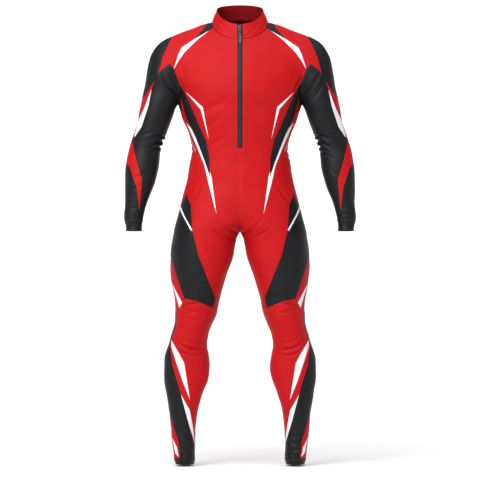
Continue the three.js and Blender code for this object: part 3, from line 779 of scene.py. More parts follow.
def seam_dip(cloth):
    """Every point close to a seam lies a little deeper, where the stitches draw the cloth in."""
    out, y, z = cloth.points.T
    nearest = np.full(len(out), np.inf)
    for line in SEAMS.values():
        nearest = np.minimum(nearest, distance_to(line, out, z))
    for seam in SIDE_SEAMS:
        nearest = np.where(near_side_seam(cloth.points, seam), np.minimum(nearest, np.abs(y)), nearest)
    # the neck seam, and the centre seams at the back and below the zip
    top = np.flatnonzero(z > YOKE[2]["front_z"])
    first_row = along_rows(YOKE, np.arange(len(YOKE)), np.array([0.0]))
    ring = yoke_grid(first_row, RING_FINER * BODY_STEPS, RING_FINER * ARM_STEPS)[0]
    away = np.linalg.norm(cloth.points[top, None] - ring, axis=2).min(axis=1)
    nearest[top] = np.minimum(nearest[top], away)
    centre = (out < CENTRE_REACH) & (z > BODY[-1]["z"]) & ((y > 0) | (z < ZIP_BOTTOM))
    nearest[centre] = np.minimum(nearest[centre], out[centre] + CENTRE_EASE)
    dip = SEAM_DIP * np.exp(-(nearest / SEAM_REACH) ** 2)
    cloth.points -= cloth.normals * dip[:, None]


# ---- From faces to a piece with thickness ----
def thick_piece(points, normals, faces, side):
    """Outer skin, inner skin and rim of one panel, in metres, with each face's part: 0, 1 or 2."""
    used, local = np.unique(faces, return_inverse=True)
    faces = local.reshape(-1, 3)
    outer, normals = points[used].copy(), normals[used]
    edges = np.stack([faces, np.roll(faces, -1, axis=1)], axis=2).reshape(-1, 2)
    names = np.sort(edges, axis=1)
    _, place, uses = np.unique(names, axis=0, return_inverse=True, return_counts=True)
    rim = edges[uses[place.ravel()] == 1]
    inward = np.zeros_like(outer)
    way = outer[rim[:, 1]] - outer[rim[:, 0]]
    across = np.cross(normals[rim[:, 0]], way)
    across /= np.maximum(np.linalg.norm(across, axis=1, keepdims=True), 1e-9)
    for end in (0, 1):
        np.add.at(inward, rim[:, end], across)
    inward /= np.maximum(np.linalg.norm(inward, axis=1, keepdims=True), 1)
    # the inner skin reaches the seam, so that no light comes through the groove
    inner = outer - normals * WALL - inward * SEAM_LAP
    outer += inward * (SEAM_GAP / 2)
    count = len(outer)
    skins = [faces, faces[:, ::-1] + count]
    strip = np.concatenate([
        np.stack([rim[:, 1], rim[:, 0], rim[:, 0] + count], axis=1),
        np.stack([rim[:, 1], rim[:, 0] + count, rim[:, 1] + count], axis=1),
    ])
    part = np.repeat([0, 1, 2], [len(faces), len(faces), len(strip)])
    points = np.concatenate([outer, inner]) * MM
    faces = np.concatenate(skins + [strip])
    if side < 0:
        points[:, 0] *= -1
        faces = faces[:, ::-1]
    return points, faces, part


def mesh_object(name, points, faces, materials, index=None):
    """An object from plain arrays, with a material for each face."""
    mesh = bpy.data.meshes.new(name)
    mesh.from_pydata(points.tolist(), [], faces if isinstance(faces, list) else faces.tolist())
    for material in materials:
        mesh.materials.append(material)
    if index is not None:
        mesh.polygons.foreach_set("material_index", np.asarray(index, dtype=np.int32))
    mesh.polygons.foreach_set("use_smooth", np.ones(len(mesh.polygons), bool))
    mesh.update()
    piece = bpy.data.objects.new(name, mesh)
    bpy.context.scene.collection.objects.link(piece)
    return piece


# ---- The collar: a stand band of two layers, open at the zip ----
COLLAR_ROWS = 18
COLLAR_STEPS = 150
RIM_STEPS = 6
COLLAR_PROUD = 0.4
COLLAR_LAP = 1.2
# The folds fade in below the rim, and the cloth draws in close to the neck seam.
COLLAR_FADE = 8
NECK_SEAM_REACH = 1.6

# Soft puckers beside the zip, and the same sort round the back.
COLLAR_FOLDS = table("out z slope half_length half_width depth bend face side", [
    (30, -22, 46, 17, 3.8, 0.9, 2, -1, 0),
    (47, -4, 44, 17, 4.2, 0.7, -2, -1, 0),
    (20, -8, 66, 13, 3.4, 0.5, 1, -1, 1),
    (64, 14, 34, 15, 4.0, 0.5, 2, -1, -1),
    (54, 44, 8, 22, 3.8, 0.7, 2, 1, 0),
    (26, 50, -4, 22, 3.6, 0.5, -2, 1, 1),
    (34, 60, 5, 20, 3.4, 0.4, 1, 1, -1),
])


def collar_loops():
    """The collar's outer side: rows from rim to seam, each from the zip round the neck to the zip."""
    steps = np.arange(len(COLLAR), dtype=float)
    rows = along_rows(COLLAR, steps, np.linspace(0, steps[-1], COLLAR_ROWS))
    half = []
    for loop in yoke_grid(rows, BODY_STEPS, ARM_STEPS):
        run = np.concatenate([[0], np.cumsum(np.linalg.norm(np.diff(loop, axis=0), axis=1))])
        start = np.interp(ZIP_WIDTH / 2, loop[:BODY_STEPS, 0], run[:BODY_STEPS])
        at = np.linspace(start, run[-1], COLLAR_STEPS)
        half.append(np.stack([np.interp(at, run, loop[:, axis]) for axis in range(3)], axis=1))
    half = np.array(half)
    return np.concatenate([half, half[:, -2::-1] * (-1, 1, 1)], axis=1) + (0, 0, SEAM_GAP / 2)


def collar_skin():
    """The folded outer side, its normals and the way up from its rim."""
    points = collar_loops()
    across = np.gradient(points, axis=1)
    down = np.gradient(points, axis=0)
    normals = np.cross(down, across)
    normals /= np.linalg.norm(normals, axis=2, keepdims=True)
    flat, facing = points.reshape(-1, 3), normals.reshape(-1, 3)
    move = np.zeros(len(flat))
    for side in (1, -1):
        own = flat[:, 0] * side > 0
        turned = (side, 1, 1)
        move[own] = fold_move(flat[own] * turned, facing[own] * turned, side, COLLAR_FOLDS)
    depth = np.linalg.norm(points - points[-1], axis=2)
    move = move.reshape(depth.shape) * np.minimum(1, np.linalg.norm(points - points[0], axis=2) / COLLAR_FADE)
    move += COLLAR_PROUD - (SEAM_DIP + COLLAR_PROUD) * np.exp(-(depth / NECK_SEAM_REACH) ** 2)
    points = points + normals * move[:, :, None]
    up = points[0] - points[1]
    return points, normals, up / np.linalg.norm(up, axis=1, keepdims=True)


def build_collar(materials):
    outer, normals, up = collar_skin()
    inner = outer - normals * COLLAR_WALL
    # the inner side reaches a little past the neck seam, so that no light comes through it
    inner[-1, :, 2] -= COLLAR_LAP
    turns = np.linspace(0, pi, RIM_STEPS + 1)[1:-1, None, None]
    bulge = np.cos(turns) * normals[0] + np.sin(turns) * up
    rolled = (outer[0] + inner[0]) / 2 + COLLAR_WALL / 2 * bulge
    profile = np.concatenate([outer[::-1], rolled, inner])
    rows, columns = profile.shape[:2]
    number = np.arange(rows * columns).reshape(rows, columns)
    after = np.roll(number, -1, axis=0)
    sides = np.stack([number[:, :-1], number[:, 1:], after[:, 1:], after[:, :-1]], axis=2)
    faces = sides.reshape(-1, 4).tolist()
    lining = COLLAR_ROWS + RIM_STEPS - 1
    index = np.repeat([0, 1, 0], [lining, COLLAR_ROWS - 1, 1]).repeat(columns - 1).tolist()
    for column, turn in ((0, 1), (columns - 1, -1)):
        end = number[:, column]
        for k in range(COLLAR_ROWS - 1):
            faces.append([int(i) for i in (end[k], end[k + 1], end[-k - 2], end[-k - 1])][::turn])
        faces.append([int(i) for i in end[COLLAR_ROWS - 1:lining + 1]][::turn])
    index += [0] * (len(faces) - len(index))
    points = profile.reshape(-1, 3) * MM
    # the collar's inner side takes the inner red, which is painted darker than the face as painted shade
    collar = mesh_object("cloth_collar", points, faces, [materials["red"], materials["red_inside"]], index)
    rides(collar, ["collar"])
    return outer * MM


# ---- The zip: two woven tapes, and a film over the two rows of the closed coil ----
COIL_PITCH = 1.35
COIL_RIB = 0.11
FILM_EDGE = 5.0
TAPE_TOP = 1.0
TAPE_END = 0.3
TAPE_STEP = 3.0
# Above this height the tape's edge, from this far out, lies deeper behind the collar.
TAPE_DEEPER_Z = -46
TAPE_DEEPER_OVER = 8
TAPE_HIDDEN = 6
CHAIN_END = 8.0
FILM_SHORT = 0.5
# The rows part from this far below the slider's top. Their outer edges move a little less.
PART_BELOW = 6
PART_SLOPE = 0.17
PART_OUTER = 0.8
# The centre front: rows down the collar, the step between its heights and rounds of easing.
FRONT_ROWS = 24
FRONT_STEP = 2.0
FRONT_ROUNDS = 6

# Across one half, from the middle outwards: the tape's face and back, as (out, lift) points.
TAPE_PROFILE = [
    (0.03, -0.42), (2.8, -0.36), (5.1, -0.4), (5.5, -0.62), (6.4, -0.95), (7.4, -1.5), (12, -1.75),
    (12, -2.35), (7.2, -2.2), (5.2, -1.5), (2.6, -1.05), (0.03, -1.0),
]

# The film: how far each point rises with the coil's ribs is the last number.
FILM_PROFILE = [
    (0.02, -0.3, 0), (0.1, 0.55, 0.3), (0.26, 0.98, 0.7), (0.75, 1.24, 1), (1.4, 1.32, 1), (2.05, 1.18, 1),
    (2.6, 0.82, 0.7), (3.05, 0.36, 0.3), (3.7, 0.02, 0.1), (4.6, -0.08, 0), (5.0, -0.14, 0), (5.0, -0.34, 0),
]


def front_line(points, normals):
    """The centre front from the collar's rim to the crotch: rows of height, y and normal."""
    front = (np.abs(points[:, 0]) < ON_CENTRE) & (points[:, 1] < 0) & (points[:, 2] > BODY[-2]["z"])
    body = worn(points[front], normals[front], 1)[:, [2, 1]]
    steps = np.arange(len(COLLAR), dtype=float)
    rows = along_rows(COLLAR, steps, np.linspace(0, steps[-1], FRONT_ROWS))
    collar = np.stack([rows["front_z"] + SEAM_GAP, -rows["front"] - COLLAR_PROUD], axis=1)[:-1]
    line = np.concatenate([collar, body[np.argsort(-body[:, 0])]])
    z = np.arange(line[0, 0], line[-1, 0], -FRONT_STEP)
    y = np.interp(-z, -line[:, 0], line[:, 1])
    for _ in range(FRONT_ROUNDS):
        y[1:-1] = (y[:-2] + 2 * y[1:-1] + y[2:]) / 4
    slope = np.gradient(y, z)
    long = np.hypot(1, slope)
    return np.stack([z, y, -1 / long, slope / long], axis=1)


def on_line(line, z):
    """The line's y, and its normal's two parts, at each height."""
    return [np.interp(-z, -line[:, 0], line[:, column]) for column in (1, 2, 3)]


def along_front(line, z, out, lift):
    """Points at each height and distance out, lifted off the centre front."""
    y, normal_y, normal_z = (part[:, None] for part in on_line(line, z))
    places = np.broadcast_arrays(out, y + lift * normal_y, z[:, None] + lift * normal_z)
    return np.stack(places, axis=2)


def tube_faces(rows, columns):
    """The points' numbers, ring by ring, and the faces between closed rings."""
    number = np.arange(rows * columns).reshape(rows, columns)
    after = np.roll(number, -1, axis=1)
    return number, np.stack([number[:-1], after[:-1], after[1:], number[1:]], axis=2).reshape(-1, 4)


def lofted(name, rings, material):
    """A closed piece through rings of points, in millimetres, with each ring a loop."""
    number, sides = tube_faces(*rings.shape[:2])
    faces = sides.tolist() + [number[0][::-1].tolist(), number[-1].tolist()]
    piece = mesh_object(name, rings.reshape(-1, 3) * MM, faces, [material])
    face_outward(piece)
    return piece


def face_outward(piece):
    work = bmesh.new()
    work.from_mesh(piece.data)
    bmesh.ops.recalc_face_normals(work, faces=work.faces)
    work.to_mesh(piece.data)
    work.free()
    piece.data.set_sharp_from_angle(angle=radians(TRIM_SHARP))


def build_tapes(line, materials):
    top, bottom = COLLAR[0]["front_z"] - TAPE_TOP, ZIP_BOTTOM + TAPE_END
    z = np.append(np.arange(top, bottom, -TAPE_STEP), bottom)
    profile = np.array(TAPE_PROFILE)
    # behind the collar, which is thicker, the hidden edge lies deeper
    share = np.clip((z - TAPE_DEEPER_Z) / TAPE_DEEPER_OVER, 0, 1)[:, None]
    deeper = share * (profile[:, 0] > TAPE_HIDDEN) * (COLLAR_WALL - WALL)
    for side, word in ((1, "left"), (-1, "right")):
        rings = along_front(line, z, np.tile(profile[:, 0], (len(z), 1)), profile[:, 1] - deeper)
        tape = lofted("zip_tape_" + word, rings * (side, 1, 1), materials["tape"])
        rides(tape, ["zip_tape_" + word])


def build_film(line, materials, slider_top):
    """The film over each row of the coil. Above the slider the rows part."""
    top, bottom = COLLAR[0]["front_z"] - TAPE_TOP - FILM_SHORT, ZIP_BOTTOM + CHAIN_END
    z = np.arange(top, bottom, -COIL_PITCH / 4)
    out, lift, rib = np.array(FILM_PROFILE).T
    apart = np.maximum(0, z - slider_top + PART_BELOW)[:, None] * PART_SLOPE
    wave = COIL_RIB * np.cos(2 * pi * z / COIL_PITCH)[:, None] * rib
    out = np.minimum(out + apart * (out < FILM_EDGE), out.max() + apart * PART_OUTER)
    rings = along_front(line, z, out, lift + wave)
    halves = [lofted(f"zip_film_{word}", rings * (side, 1, 1), materials["film"])
              for side, word in ((1, "left"), (-1, "right"))]
    film = joined("zip_film", halves)
    rides(film, ["zip_chain"])


# ---- Modelling hard pieces by hand ----
def only(piece):
    bpy.ops.object.select_all(action="DESELECT")
    piece.select_set(True)
    bpy.context.view_layer.objects.active = piece


def joined(name, pieces):
    bpy.ops.object.select_all(action="DESELECT")
    for piece in pieces:
        piece.select_set(True)
    bpy.context.view_layer.objects.active = pieces[0]
    bpy.ops.object.join()
    pieces[0].name = name
    pieces[0].data.name = name
    return pieces[0]


def block(name, low, high):
    """A box from one corner to the other, in millimetres, left in edit mode."""
    low, high = Vector(low) * MM, Vector(high) * MM
    bpy.ops.object.select_all(action="DESELECT")
    bpy.ops.mesh.primitive_cube_add(size=1, location=(low + high) / 2, scale=high - low)
    piece = bpy.context.object
    piece.name = name
    bpy.ops.object.transform_apply(location=True, rotation=True, scale=True)
    bpy.ops.object.mode_set(mode="EDIT")
    return piece


def pick(piece, kind, test):
    """In edit mode, selects the faces, edges or points whose place and direction pass a test."""
    bpy.ops.mesh.select_mode(type=kind)
    bpy.ops.mesh.select_all(action="DESELECT")
    work = bmesh.from_edit_mesh(piece.data)
    if kind == "FACE":
        for face in work.faces:
            face.select_set(test(face.calc_center_median() / MM, face.normal))
    elif kind == "EDGE":
        for edge in work.edges:
            start, end = (point.co / MM for point in edge.verts)
            edge.select_set(test((start + end) / 2, (end - start).normalized()))
    else:
        for point in work.verts:
            point.select_set(test(point.co / MM, point.normal))
    work.select_flush_mode()
    bmesh.update_edit_mesh(piece.data)


def cut_at(axis, place):
    """Cuts new edges through the whole piece, square to an axis."""
    bpy.ops.mesh.select_all(action="SELECT")
    point, normal = [0, 0, 0], [0, 0, 0]
    point[axis], normal[axis] = place * MM, 1
    bpy.ops.mesh.bisect(plane_co=point, plane_no=normal)


def inset(rim, depth):
    """Insets the selected faces by a rim and a depth in millimetres."""
    bpy.ops.mesh.inset(thickness=rim * MM, depth=depth * MM)


def extrude(y, z):
    """Extrudes the selected faces by a move in millimetres."""
    bpy.ops.mesh.extrude_region_move(TRANSFORM_OT_translate={"value": (0, y * MM, z * MM)})


def narrow_at(piece, z, share):
    pick(piece, "VERT", lambda at, _: abs(at.z - z) < 0.01)
    bpy.ops.transform.resize(value=(share, 1, 1), center_override=(0, 0, 0))


def finish_piece(piece, bevel, segments=3, angle=35):
    """Leaves edit mode, rounds the edges and smooths what is round."""
    bpy.ops.mesh.select_all(action="SELECT")
    bpy.ops.mesh.normals_make_consistent(inside=False)
    bpy.ops.object.mode_set(mode="OBJECT")
    only(piece)
    modifier = piece.modifiers.new("bevel", "BEVEL")
    modifier.width = bevel * MM
    modifier.segments = segments
    modifier.limit_method = "ANGLE"
    modifier.angle_limit = radians(angle)
    bpy.ops.object.modifier_apply(modifier=modifier.name)
    bpy.ops.object.shade_smooth_by_angle(angle=radians(angle))


# ---- The slider, its bridge and its pull, in millimetres from the slider's middle ----
# They are modelled upright with the cloth behind them, and then leaned against the collar.
SLIDER = {"z": -5, "width": 12, "waist": 8.6, "length": 22, "lift": 0.5, "face": -4.3, "raised": 0.45,
          "nose": 5.5, "tail": -4.4, "nose_share": 0.91, "tail_share": 0.82, "face_rim": 1.5,
          "flank_half": 6, "flank_rim": 0.6, "flank_depth": 0.35, "round": 0.4}
BRIDGE = {"width": 3.4, "half": 6.5, "bar": 1.5, "crown": -8.9, "turn": 2.7, "sunk": 0.6, "foot": 0.5,
          "round": 0.35}
PULL = {"away": 5.85, "width": 9.4, "tip": 7.6, "length": 50, "thick": 1.7, "corner": 2.2, "swing": 1,
        "neck": 8.2, "neck_z": -18, "shoulder_z": -22, "pin": 1.5, "eye": 4.6, "eye_z": -17.5,
        "panel_rim": 1.3, "panel_depth": 0.3, "round": 0.28, "pin_rim": 0.2, "pin_end": 0.12,
        "pin_round": 0.1}
# The stops' half width, thickness and half height, and where each sits.
BOTTOM_STOP = {"up": 8.7, "size": (3.1, 1.9, 2.8)}
TOP_STOP = {"z": 6.6, "out": 3.1, "size": (1.2, 1.5, 1.1)}
CLAMP = {"sunk": 0.1, "rim_share": 0.35, "raised": 0.2, "round": 0.3}
# How squarely a face or edge points one way to be picked, and how nearly so on the slider's flanks.
SQUARE = 0.9
SLANTED = 0.6
QUARTER_STEPS = 5


def slider_body():
    half, top = SLIDER["width"] / 2, SLIDER["length"] / 2
    waist = SLIDER["waist"] / SLIDER["width"]
    face = SLIDER["face"] + SLIDER["raised"]
    body = block("slider_body", (-half, face, -top), (half, -SLIDER["lift"], top))
    for z in (SLIDER["nose"], (SLIDER["nose"] + top) / 2, SLIDER["tail"], (SLIDER["tail"] - top) / 2):
        cut_at(2, z)
    narrow_at(body, top, waist)
    narrow_at(body, (SLIDER["nose"] + top) / 2, SLIDER["nose_share"])
    narrow_at(body, (SLIDER["tail"] - top) / 2, SLIDER["tail_share"])
    narrow_at(body, -top, waist)
    pick(body, "FACE", lambda at, way: way.y < -SQUARE)
    inset(SLIDER["face_rim"], SLIDER["raised"])
    # the flanks are cast a little hollow
    pick(body, "FACE", lambda at, way: abs(way.x) > SLANTED and abs(at.z) < SLIDER["flank_half"])
    inset(SLIDER["flank_rim"], -SLIDER["flank_depth"])
    finish_piece(body, SLIDER["round"])
    return body


def slider_bridge():
    half, wide, bar = BRIDGE["half"], BRIDGE["width"] / 2, BRIDGE["bar"]
    foot, turn = SLIDER["face"] + BRIDGE["sunk"], BRIDGE["turn"]
    haunch = BRIDGE["crown"] + turn
    bridge = block("slider_bridge", (-wide, foot - BRIDGE["foot"], half - bar), (wide, foot, half))
    pick(bridge, "FACE", lambda at, way: way.y < -SQUARE)
    extrude(haunch - foot + BRIDGE["foot"], 0)
    quarter_turn(haunch, half - turn)
    extrude(0, 2 * (turn - half))
    quarter_turn(haunch, turn - half)
    extrude(foot - haunch, 0)
    finish_piece(bridge, BRIDGE["round"], 2, 50)
    return bridge


def quarter_turn(y, z):
    """Turns the selected end of a bar through a quarter circle about a line along X."""
    bpy.ops.mesh.spin(steps=QUARTER_STEPS, angle=pi / 2, center=(0, y * MM, z * MM), axis=(1, 0, 0))


def pull_blade():
    half, thin = PULL["width"] / 2, PULL["thick"] / 2
    eye, low = PULL["eye"] / 2, -PULL["length"]
    blade = block("pull_blade", (-half, -thin, low), (half, thin, PULL["eye_z"]))
    cut_at(2, PULL["shoulder_z"])
    cut_at(2, PULL["neck_z"])
    narrow_at(blade, low, PULL["tip"] / PULL["width"])
    narrow_at(blade, PULL["neck_z"], PULL["neck"] / PULL["width"])
    narrow_at(blade, PULL["eye_z"], PULL["neck"] / PULL["width"])
    pick(blade, "EDGE", lambda at, way: abs(way.y) > SQUARE and abs(at.z - low) < 0.1)
    bpy.ops.mesh.bevel(offset=PULL["corner"] * MM, segments=6, affect="EDGES")
    cut_at(0, eye)
    cut_at(0, -eye)
    pick(blade, "FACE", lambda at, way: way.z > SQUARE and abs(at.x) > eye)
    extrude(0, -PULL["eye_z"])
    for sign in (-1, 1):
        pick(blade, "FACE", lambda at, way: way.y * sign > SQUARE and at.z < PULL["shoulder_z"])
        inset(PULL["panel_rim"], -PULL["panel_depth"])
    finish_piece(blade, PULL["round"])
    return blade


def pull_pin():
    bpy.ops.object.select_all(action="DESELECT")
    bpy.ops.mesh.primitive_cylinder_add(
        vertices=32, radius=PULL["pin"] / 2 * MM, depth=PULL["neck"] * MM, rotation=(0, pi / 2, 0),
    )
    pin = bpy.context.object
    pin.name = "pull_pin"
    bpy.ops.object.transform_apply(location=True, rotation=True, scale=True)
    bpy.ops.object.mode_set(mode="EDIT")
    pick(pin, "FACE", lambda at, way: abs(way.x) > SQUARE)
    inset(PULL["pin_rim"], PULL["pin_end"])
    finish_piece(pin, PULL["pin_round"], 2)
    return pin


def build_slider(materials):
    """The slider and the pull, leaned so that the pull's pin lies on its hinge."""
    pin = Vector(frame["joints"][0]["pos_m"])
    lean = asin((pin.z / MM - SLIDER["z"]) / PULL["away"])
    place = Vector((0, pin.y + PULL["away"] * MM * cos(lean), SLIDER["z"] * MM))
    leaned = Matrix.Rotation(-lean, 4, "X")
    slider = joined("zip_slider", [slider_body(), slider_bridge()])
    slider.data.transform(Matrix.Translation(place) @ leaned)
    pull = joined("zip_pull", [pull_blade(), pull_pin()])
    swung = Matrix.Rotation(-lean - radians(PULL["swing"]), 4, "X")
    pull.data.transform(Matrix.Translation(pin) @ swung)
    for piece, node, body in ((slider, "zip_slider", "suit"), (pull, "zip_pull", "pull")):
        piece.name = node + "_cast"
        piece.data.materials.clear()
        piece.data.materials.append(materials["gunmetal"])
        rides(piece, [node], body)
    return place.z / MM + SLIDER["length"] / 2


def build_stops(line, materials):
    """The clamp that closes the coil's lower end, and one on each row above the slider."""
    stops = [clamp("stop_bottom", line, ZIP_BOTTOM + BOTTOM_STOP["up"], 0, BOTTOM_STOP["size"])]
    for side in (1, -1):
        stops.append(clamp("stop_top", line, TOP_STOP["z"], TOP_STOP["out"] * side, TOP_STOP["size"]))
    bottom = joined("zip_bottom_stop", stops[:1])
    tops = joined("zip_top_stops", stops[1:])
    for piece, nodes in ((bottom, ["zip_stop"]), (tops, ())):
        piece.data.materials.clear()
        piece.data.materials.append(materials["gunmetal"])
        rides(piece, nodes)


def clamp(name, line, z, x, size):
    half, thick, high = size
    piece = block(name, (-half, -thick, -high), (half, CLAMP["sunk"], high))
    pick(piece, "FACE", lambda at, way: way.y < -SQUARE)
    inset(CLAMP["rim_share"] * half, CLAMP["raised"])
    finish_piece(piece, CLAMP["round"])
    y, normal_y, normal_z = (float(part[0]) for part in on_line(line, np.array([z])))
    lean = atan2(normal_z, -normal_y)
    piece.data.transform(Matrix.Translation(Vector((x, y, z)) * MM) @ Matrix.Rotation(-lean, 4, "X"))
    return piece


# ---- Stitching: rows of single thread runs laid on the cloth ----
STITCH_PITCH = 3.3
STITCH_LONG = 2.6
THREAD = 0.27
ZIP_STITCH_OUT = 10.8
ZIP_BOX_END = -400.5
CENTRE_STITCH_OUT = 2.0
CENTRE_STITCH_END = -642
CUFF_STITCHES = (-624, -654.5)
HEM_STITCH = -1401.5

# One run of thread along its row: (share of its length, width, lift), its ends sunk in the cloth.
STITCH_RINGS = [(-0.5, 0.3, -0.3), (-0.4, 0.85, -0.02), (-0.15, 1, 0.12), (0.15, 1, 0.12),
                (0.4, 0.85, -0.02), (0.5, 0.3, -0.3)]
STITCH_SIDES = 6


def skin_tree(clothes, collar):
    """The whole outer side of the suit, to lay things on: both sides' cloth and the collar."""
    points, faces, start = [], [], 0
    for cloth, side in clothes:
        points.append(cloth.points * (side, 1, 1))
        faces.append(cloth.faces[:, ::side] + start)
        start += len(cloth.points)
    rows, columns = collar.shape[:2]
    number = start + np.arange(rows * columns).reshape(rows, columns)
    corners = [number[:-1, :-1], number[1:, :-1], number[1:, 1:], number[:-1, 1:]]
    a, b, c, d = (corner.ravel() for corner in corners)
    points.append(collar.reshape(-1, 3) / MM)
    faces += [np.stack([a, b, c], axis=1), np.stack([a, c, d], axis=1)]
    return BVHTree.FromPolygons(np.concatenate(points).tolist(), np.concatenate(faces).tolist())


def evenly(path, pitch):
    """Places at an even pitch along a path."""
    path = np.asarray(path, float)
    run = np.concatenate([[0], np.cumsum(np.linalg.norm(np.diff(path, axis=0), axis=1))])
    at = np.linspace(0, run[-1], max(2, round(run[-1] / pitch)) + 1)
    return np.stack([np.interp(at, run, path[:, axis]) for axis in range(3)], axis=1)


def stitched(name, skin, paths, material):
    """One piece with the thread runs of several rows."""
    spots, ways, ups = [], [], []
    for path in paths:
        laid = []
        for point in evenly(path, STITCH_PITCH):
            place, normal, _, _ = skin.find_nearest(Vector(point))
            laid.append((place, normal))
        for (start, normal), (end, other) in zip(laid, laid[1:]):
            spots.append((start + end) / 2)
            ways.append((end - start).normalized())
            ups.append((normal + other).normalized())
    spots, ways, ups = (np.array(values)[:, None, None] for values in (spots, ways, ups))
    sides = np.cross(ways, ups)
    share, width, lift = (part[:, None] for part in np.array(STITCH_RINGS).T)
    turn = 2 * pi * np.arange(STITCH_SIDES) / STITCH_SIDES
    along, up, out = np.broadcast_arrays(
        share * STITCH_LONG, lift + THREAD * width * np.sin(turn), THREAD * width * np.cos(turn),
    )
    points = spots + ways * along[..., None] + ups * up[..., None] + sides * out[..., None]
    rings = len(STITCH_RINGS)
    number, one = tube_faces(rings, STITCH_SIDES)
    starts = np.arange(len(spots)) * rings * STITCH_SIDES
    faces = (one[:, ::-1] + starts[:, None, None]).reshape(-1, 4).tolist()
    for start in starts.tolist():
        faces.append([start + int(i) for i in number[0]])
        faces.append([start + int(i) for i in number[-1][::-1]])
    piece = mesh_object(name, points.reshape(-1, 3) * MM, faces, [material])
    rides(piece)


def ring_path(rows, z, side):
    """A path round a limb at a height."""
    return limb_grid(rows, np.array([z], float), ARM_STEPS)[0] * (side, 1, 1)


def beside_front(line, z, out):
    """A path down the front, a distance out from the centre line."""
    return along_front(line, z, np.array([[out]]), 0.0)[:, 0]


def build_stitching(skin, line, collar, materials):
    z = np.append(np.arange(COLLAR[0]["front_z"] - 4, ZIP_BOX_END, -2), ZIP_BOX_END)
    zip_rows = [beside_front(line, z, side * ZIP_STITCH_OUT) for side in (1, -1)]
    zip_rows.append(np.stack([zip_rows[0][-1], zip_rows[1][-1]]))
    z = np.arange(ZIP_BOX_END - 6, CENTRE_STITCH_END, -2.0)
    centre = [beside_front(line, z, side * CENTRE_STITCH_OUT) for side in (1, -1)]
    neck = collar[-3] / MM
    # the red thread is painted a shade lighter than the cloth, as a painted highlight beside the zip, at the
    # neck and down the centre
    stitched("stitching_zip", skin, zip_rows, materials["thread_red"])
    stitched("stitching_collar", skin, [neck[1:-1]], materials["thread_red"])
    stitched("stitching_centre", skin, centre, materials["thread_red"])
    edges = [ring_path(SLEEVE, z, side) for side in (1, -1) for z in CUFF_STITCHES]
    edges += [ring_path(LEG, HEM_STITCH, side) for side in (1, -1)]
    stitched("stitching_bands", skin, edges, materials["thread_black"])


# ---- Materials ----
def linear(code):
    """A linear colour from its sRGB hex code."""
    parts = [int(code[i:i + 2], 16) / 255 for i in (1, 3, 5)]
    return tuple(p / 12.92 if p <= 0.04045 else ((p + 0.055) / 1.055) ** 2.4 for p in parts) + (1,)


class Nodes:
    """A material's node tree with a short way to add a node, set its sockets and link them."""

    def __init__(self, name):
        self.material = bpy.data.materials.new(name)
        self.material.use_nodes = True
        self.tree = self.material.node_tree
        self.shader = self.tree.nodes["Principled BSDF"]

    def add(self, kind, sockets=None, **settings):
        node = self.tree.nodes.new("ShaderNode" + kind)
        for key, value in settings.items():
            setattr(node, key, value)
        for key, value in (sockets or {}).items():
            if isinstance(value, bpy.types.NodeSocket):
                self.tree.links.new(value, node.inputs[key])
            else:
                node.inputs[key].default_value = value
        return node

    def finish(self, **sockets):
        for key, value in sockets.items():
            socket = self.shader.inputs[key.replace("_", " ")]
            if isinstance(value, bpy.types.NodeSocket):
                self.tree.links.new(value, socket)
            else:
                socket.default_value = value
        return self.material


def grain(size):
    """The Noise Texture scale whose features are this many millimetres across."""
    return 1 / (size * MM)


DIAGONAL = {"wave_type": "BANDS", "bands_direction": "DIAGONAL", "wave_profile": "SIN"}


def bands(pitch):
    """The Wave Texture scale whose diagonal bands repeat after this many millimetres along an axis."""
    return 2 * pi / (10 * pitch * MM)


def laminate(name, base, shade, roughness, knit_depth=0.012):
    """Warp-knitted stretch laminate, dyed by sublimation. The wales, 0.4 mm apart, are too fine to
    show, so they are drawn at 1.2 mm. What the eye sees from a few steps away is a soft mottling,
    slow changes of tone, and gloss that changes with the tone."""
    n = Nodes(name)
    place = n.add("TexCoord").outputs["Object"]
    tone = n.add("TexNoise", {"Vector": place, "Scale": grain(110), "Detail": 3.0, "Roughness": 0.55})
    mix = n.add("Mix", {"Factor": tone.outputs["Fac"], "A": linear(shade), "B": linear(base)},
                data_type="RGBA")
    gloss = n.add("MapRange", {
        "Value": tone.outputs["Fac"], "To Min": roughness - 0.05, "To Max": roughness + 0.06,
    })
    wales = n.add("TexWave", {"Vector": place, "Scale": bands(1.2), "Distortion": 1.2, "Detail": 1.0},
                  **DIAGONAL)
    courses = n.add("TexNoise", {"Vector": place, "Scale": grain(0.7), "Detail": 1.0})
    weave = n.add("Math", {0: wales.outputs["Fac"], 1: courses.outputs["Fac"]}, operation="MULTIPLY")
    knit = n.add("Bump", {"Height": weave.outputs[0], "Strength": 0.35, "Distance": knit_depth * MM})
    mottle = n.add("TexNoise", {"Vector": place, "Scale": grain(17), "Detail": 2.0})
    bump = n.add("Bump", {
        "Height": mottle.outputs["Fac"], "Strength": 0.25, "Distance": 0.6 * MM, "Normal": knit.outputs[0],
    })
    return n.finish(
        Base_Color=mix.outputs[2], Roughness=gloss.outputs["Result"], Normal=bump.outputs[0],
        Specular_IOR_Level=0.16,
    )


def woven_tape(name, base):
    """Polyester zip tape: a twill with a dry face, its ribs drawn at 1.2 mm so that they show."""
    n = Nodes(name)
    place = n.add("TexCoord").outputs["Object"]
    rib = n.add("TexWave", {"Vector": place, "Scale": bands(1.2), "Distortion": 0.4},
                **DIAGONAL)
    bump = n.add("Bump", {"Height": rib.outputs["Fac"], "Strength": 0.5, "Distance": 0.08 * MM})
    return n.finish(Base_Color=linear(base), Roughness=0.72, Normal=bump.outputs[0], Specular_IOR_Level=0.25)


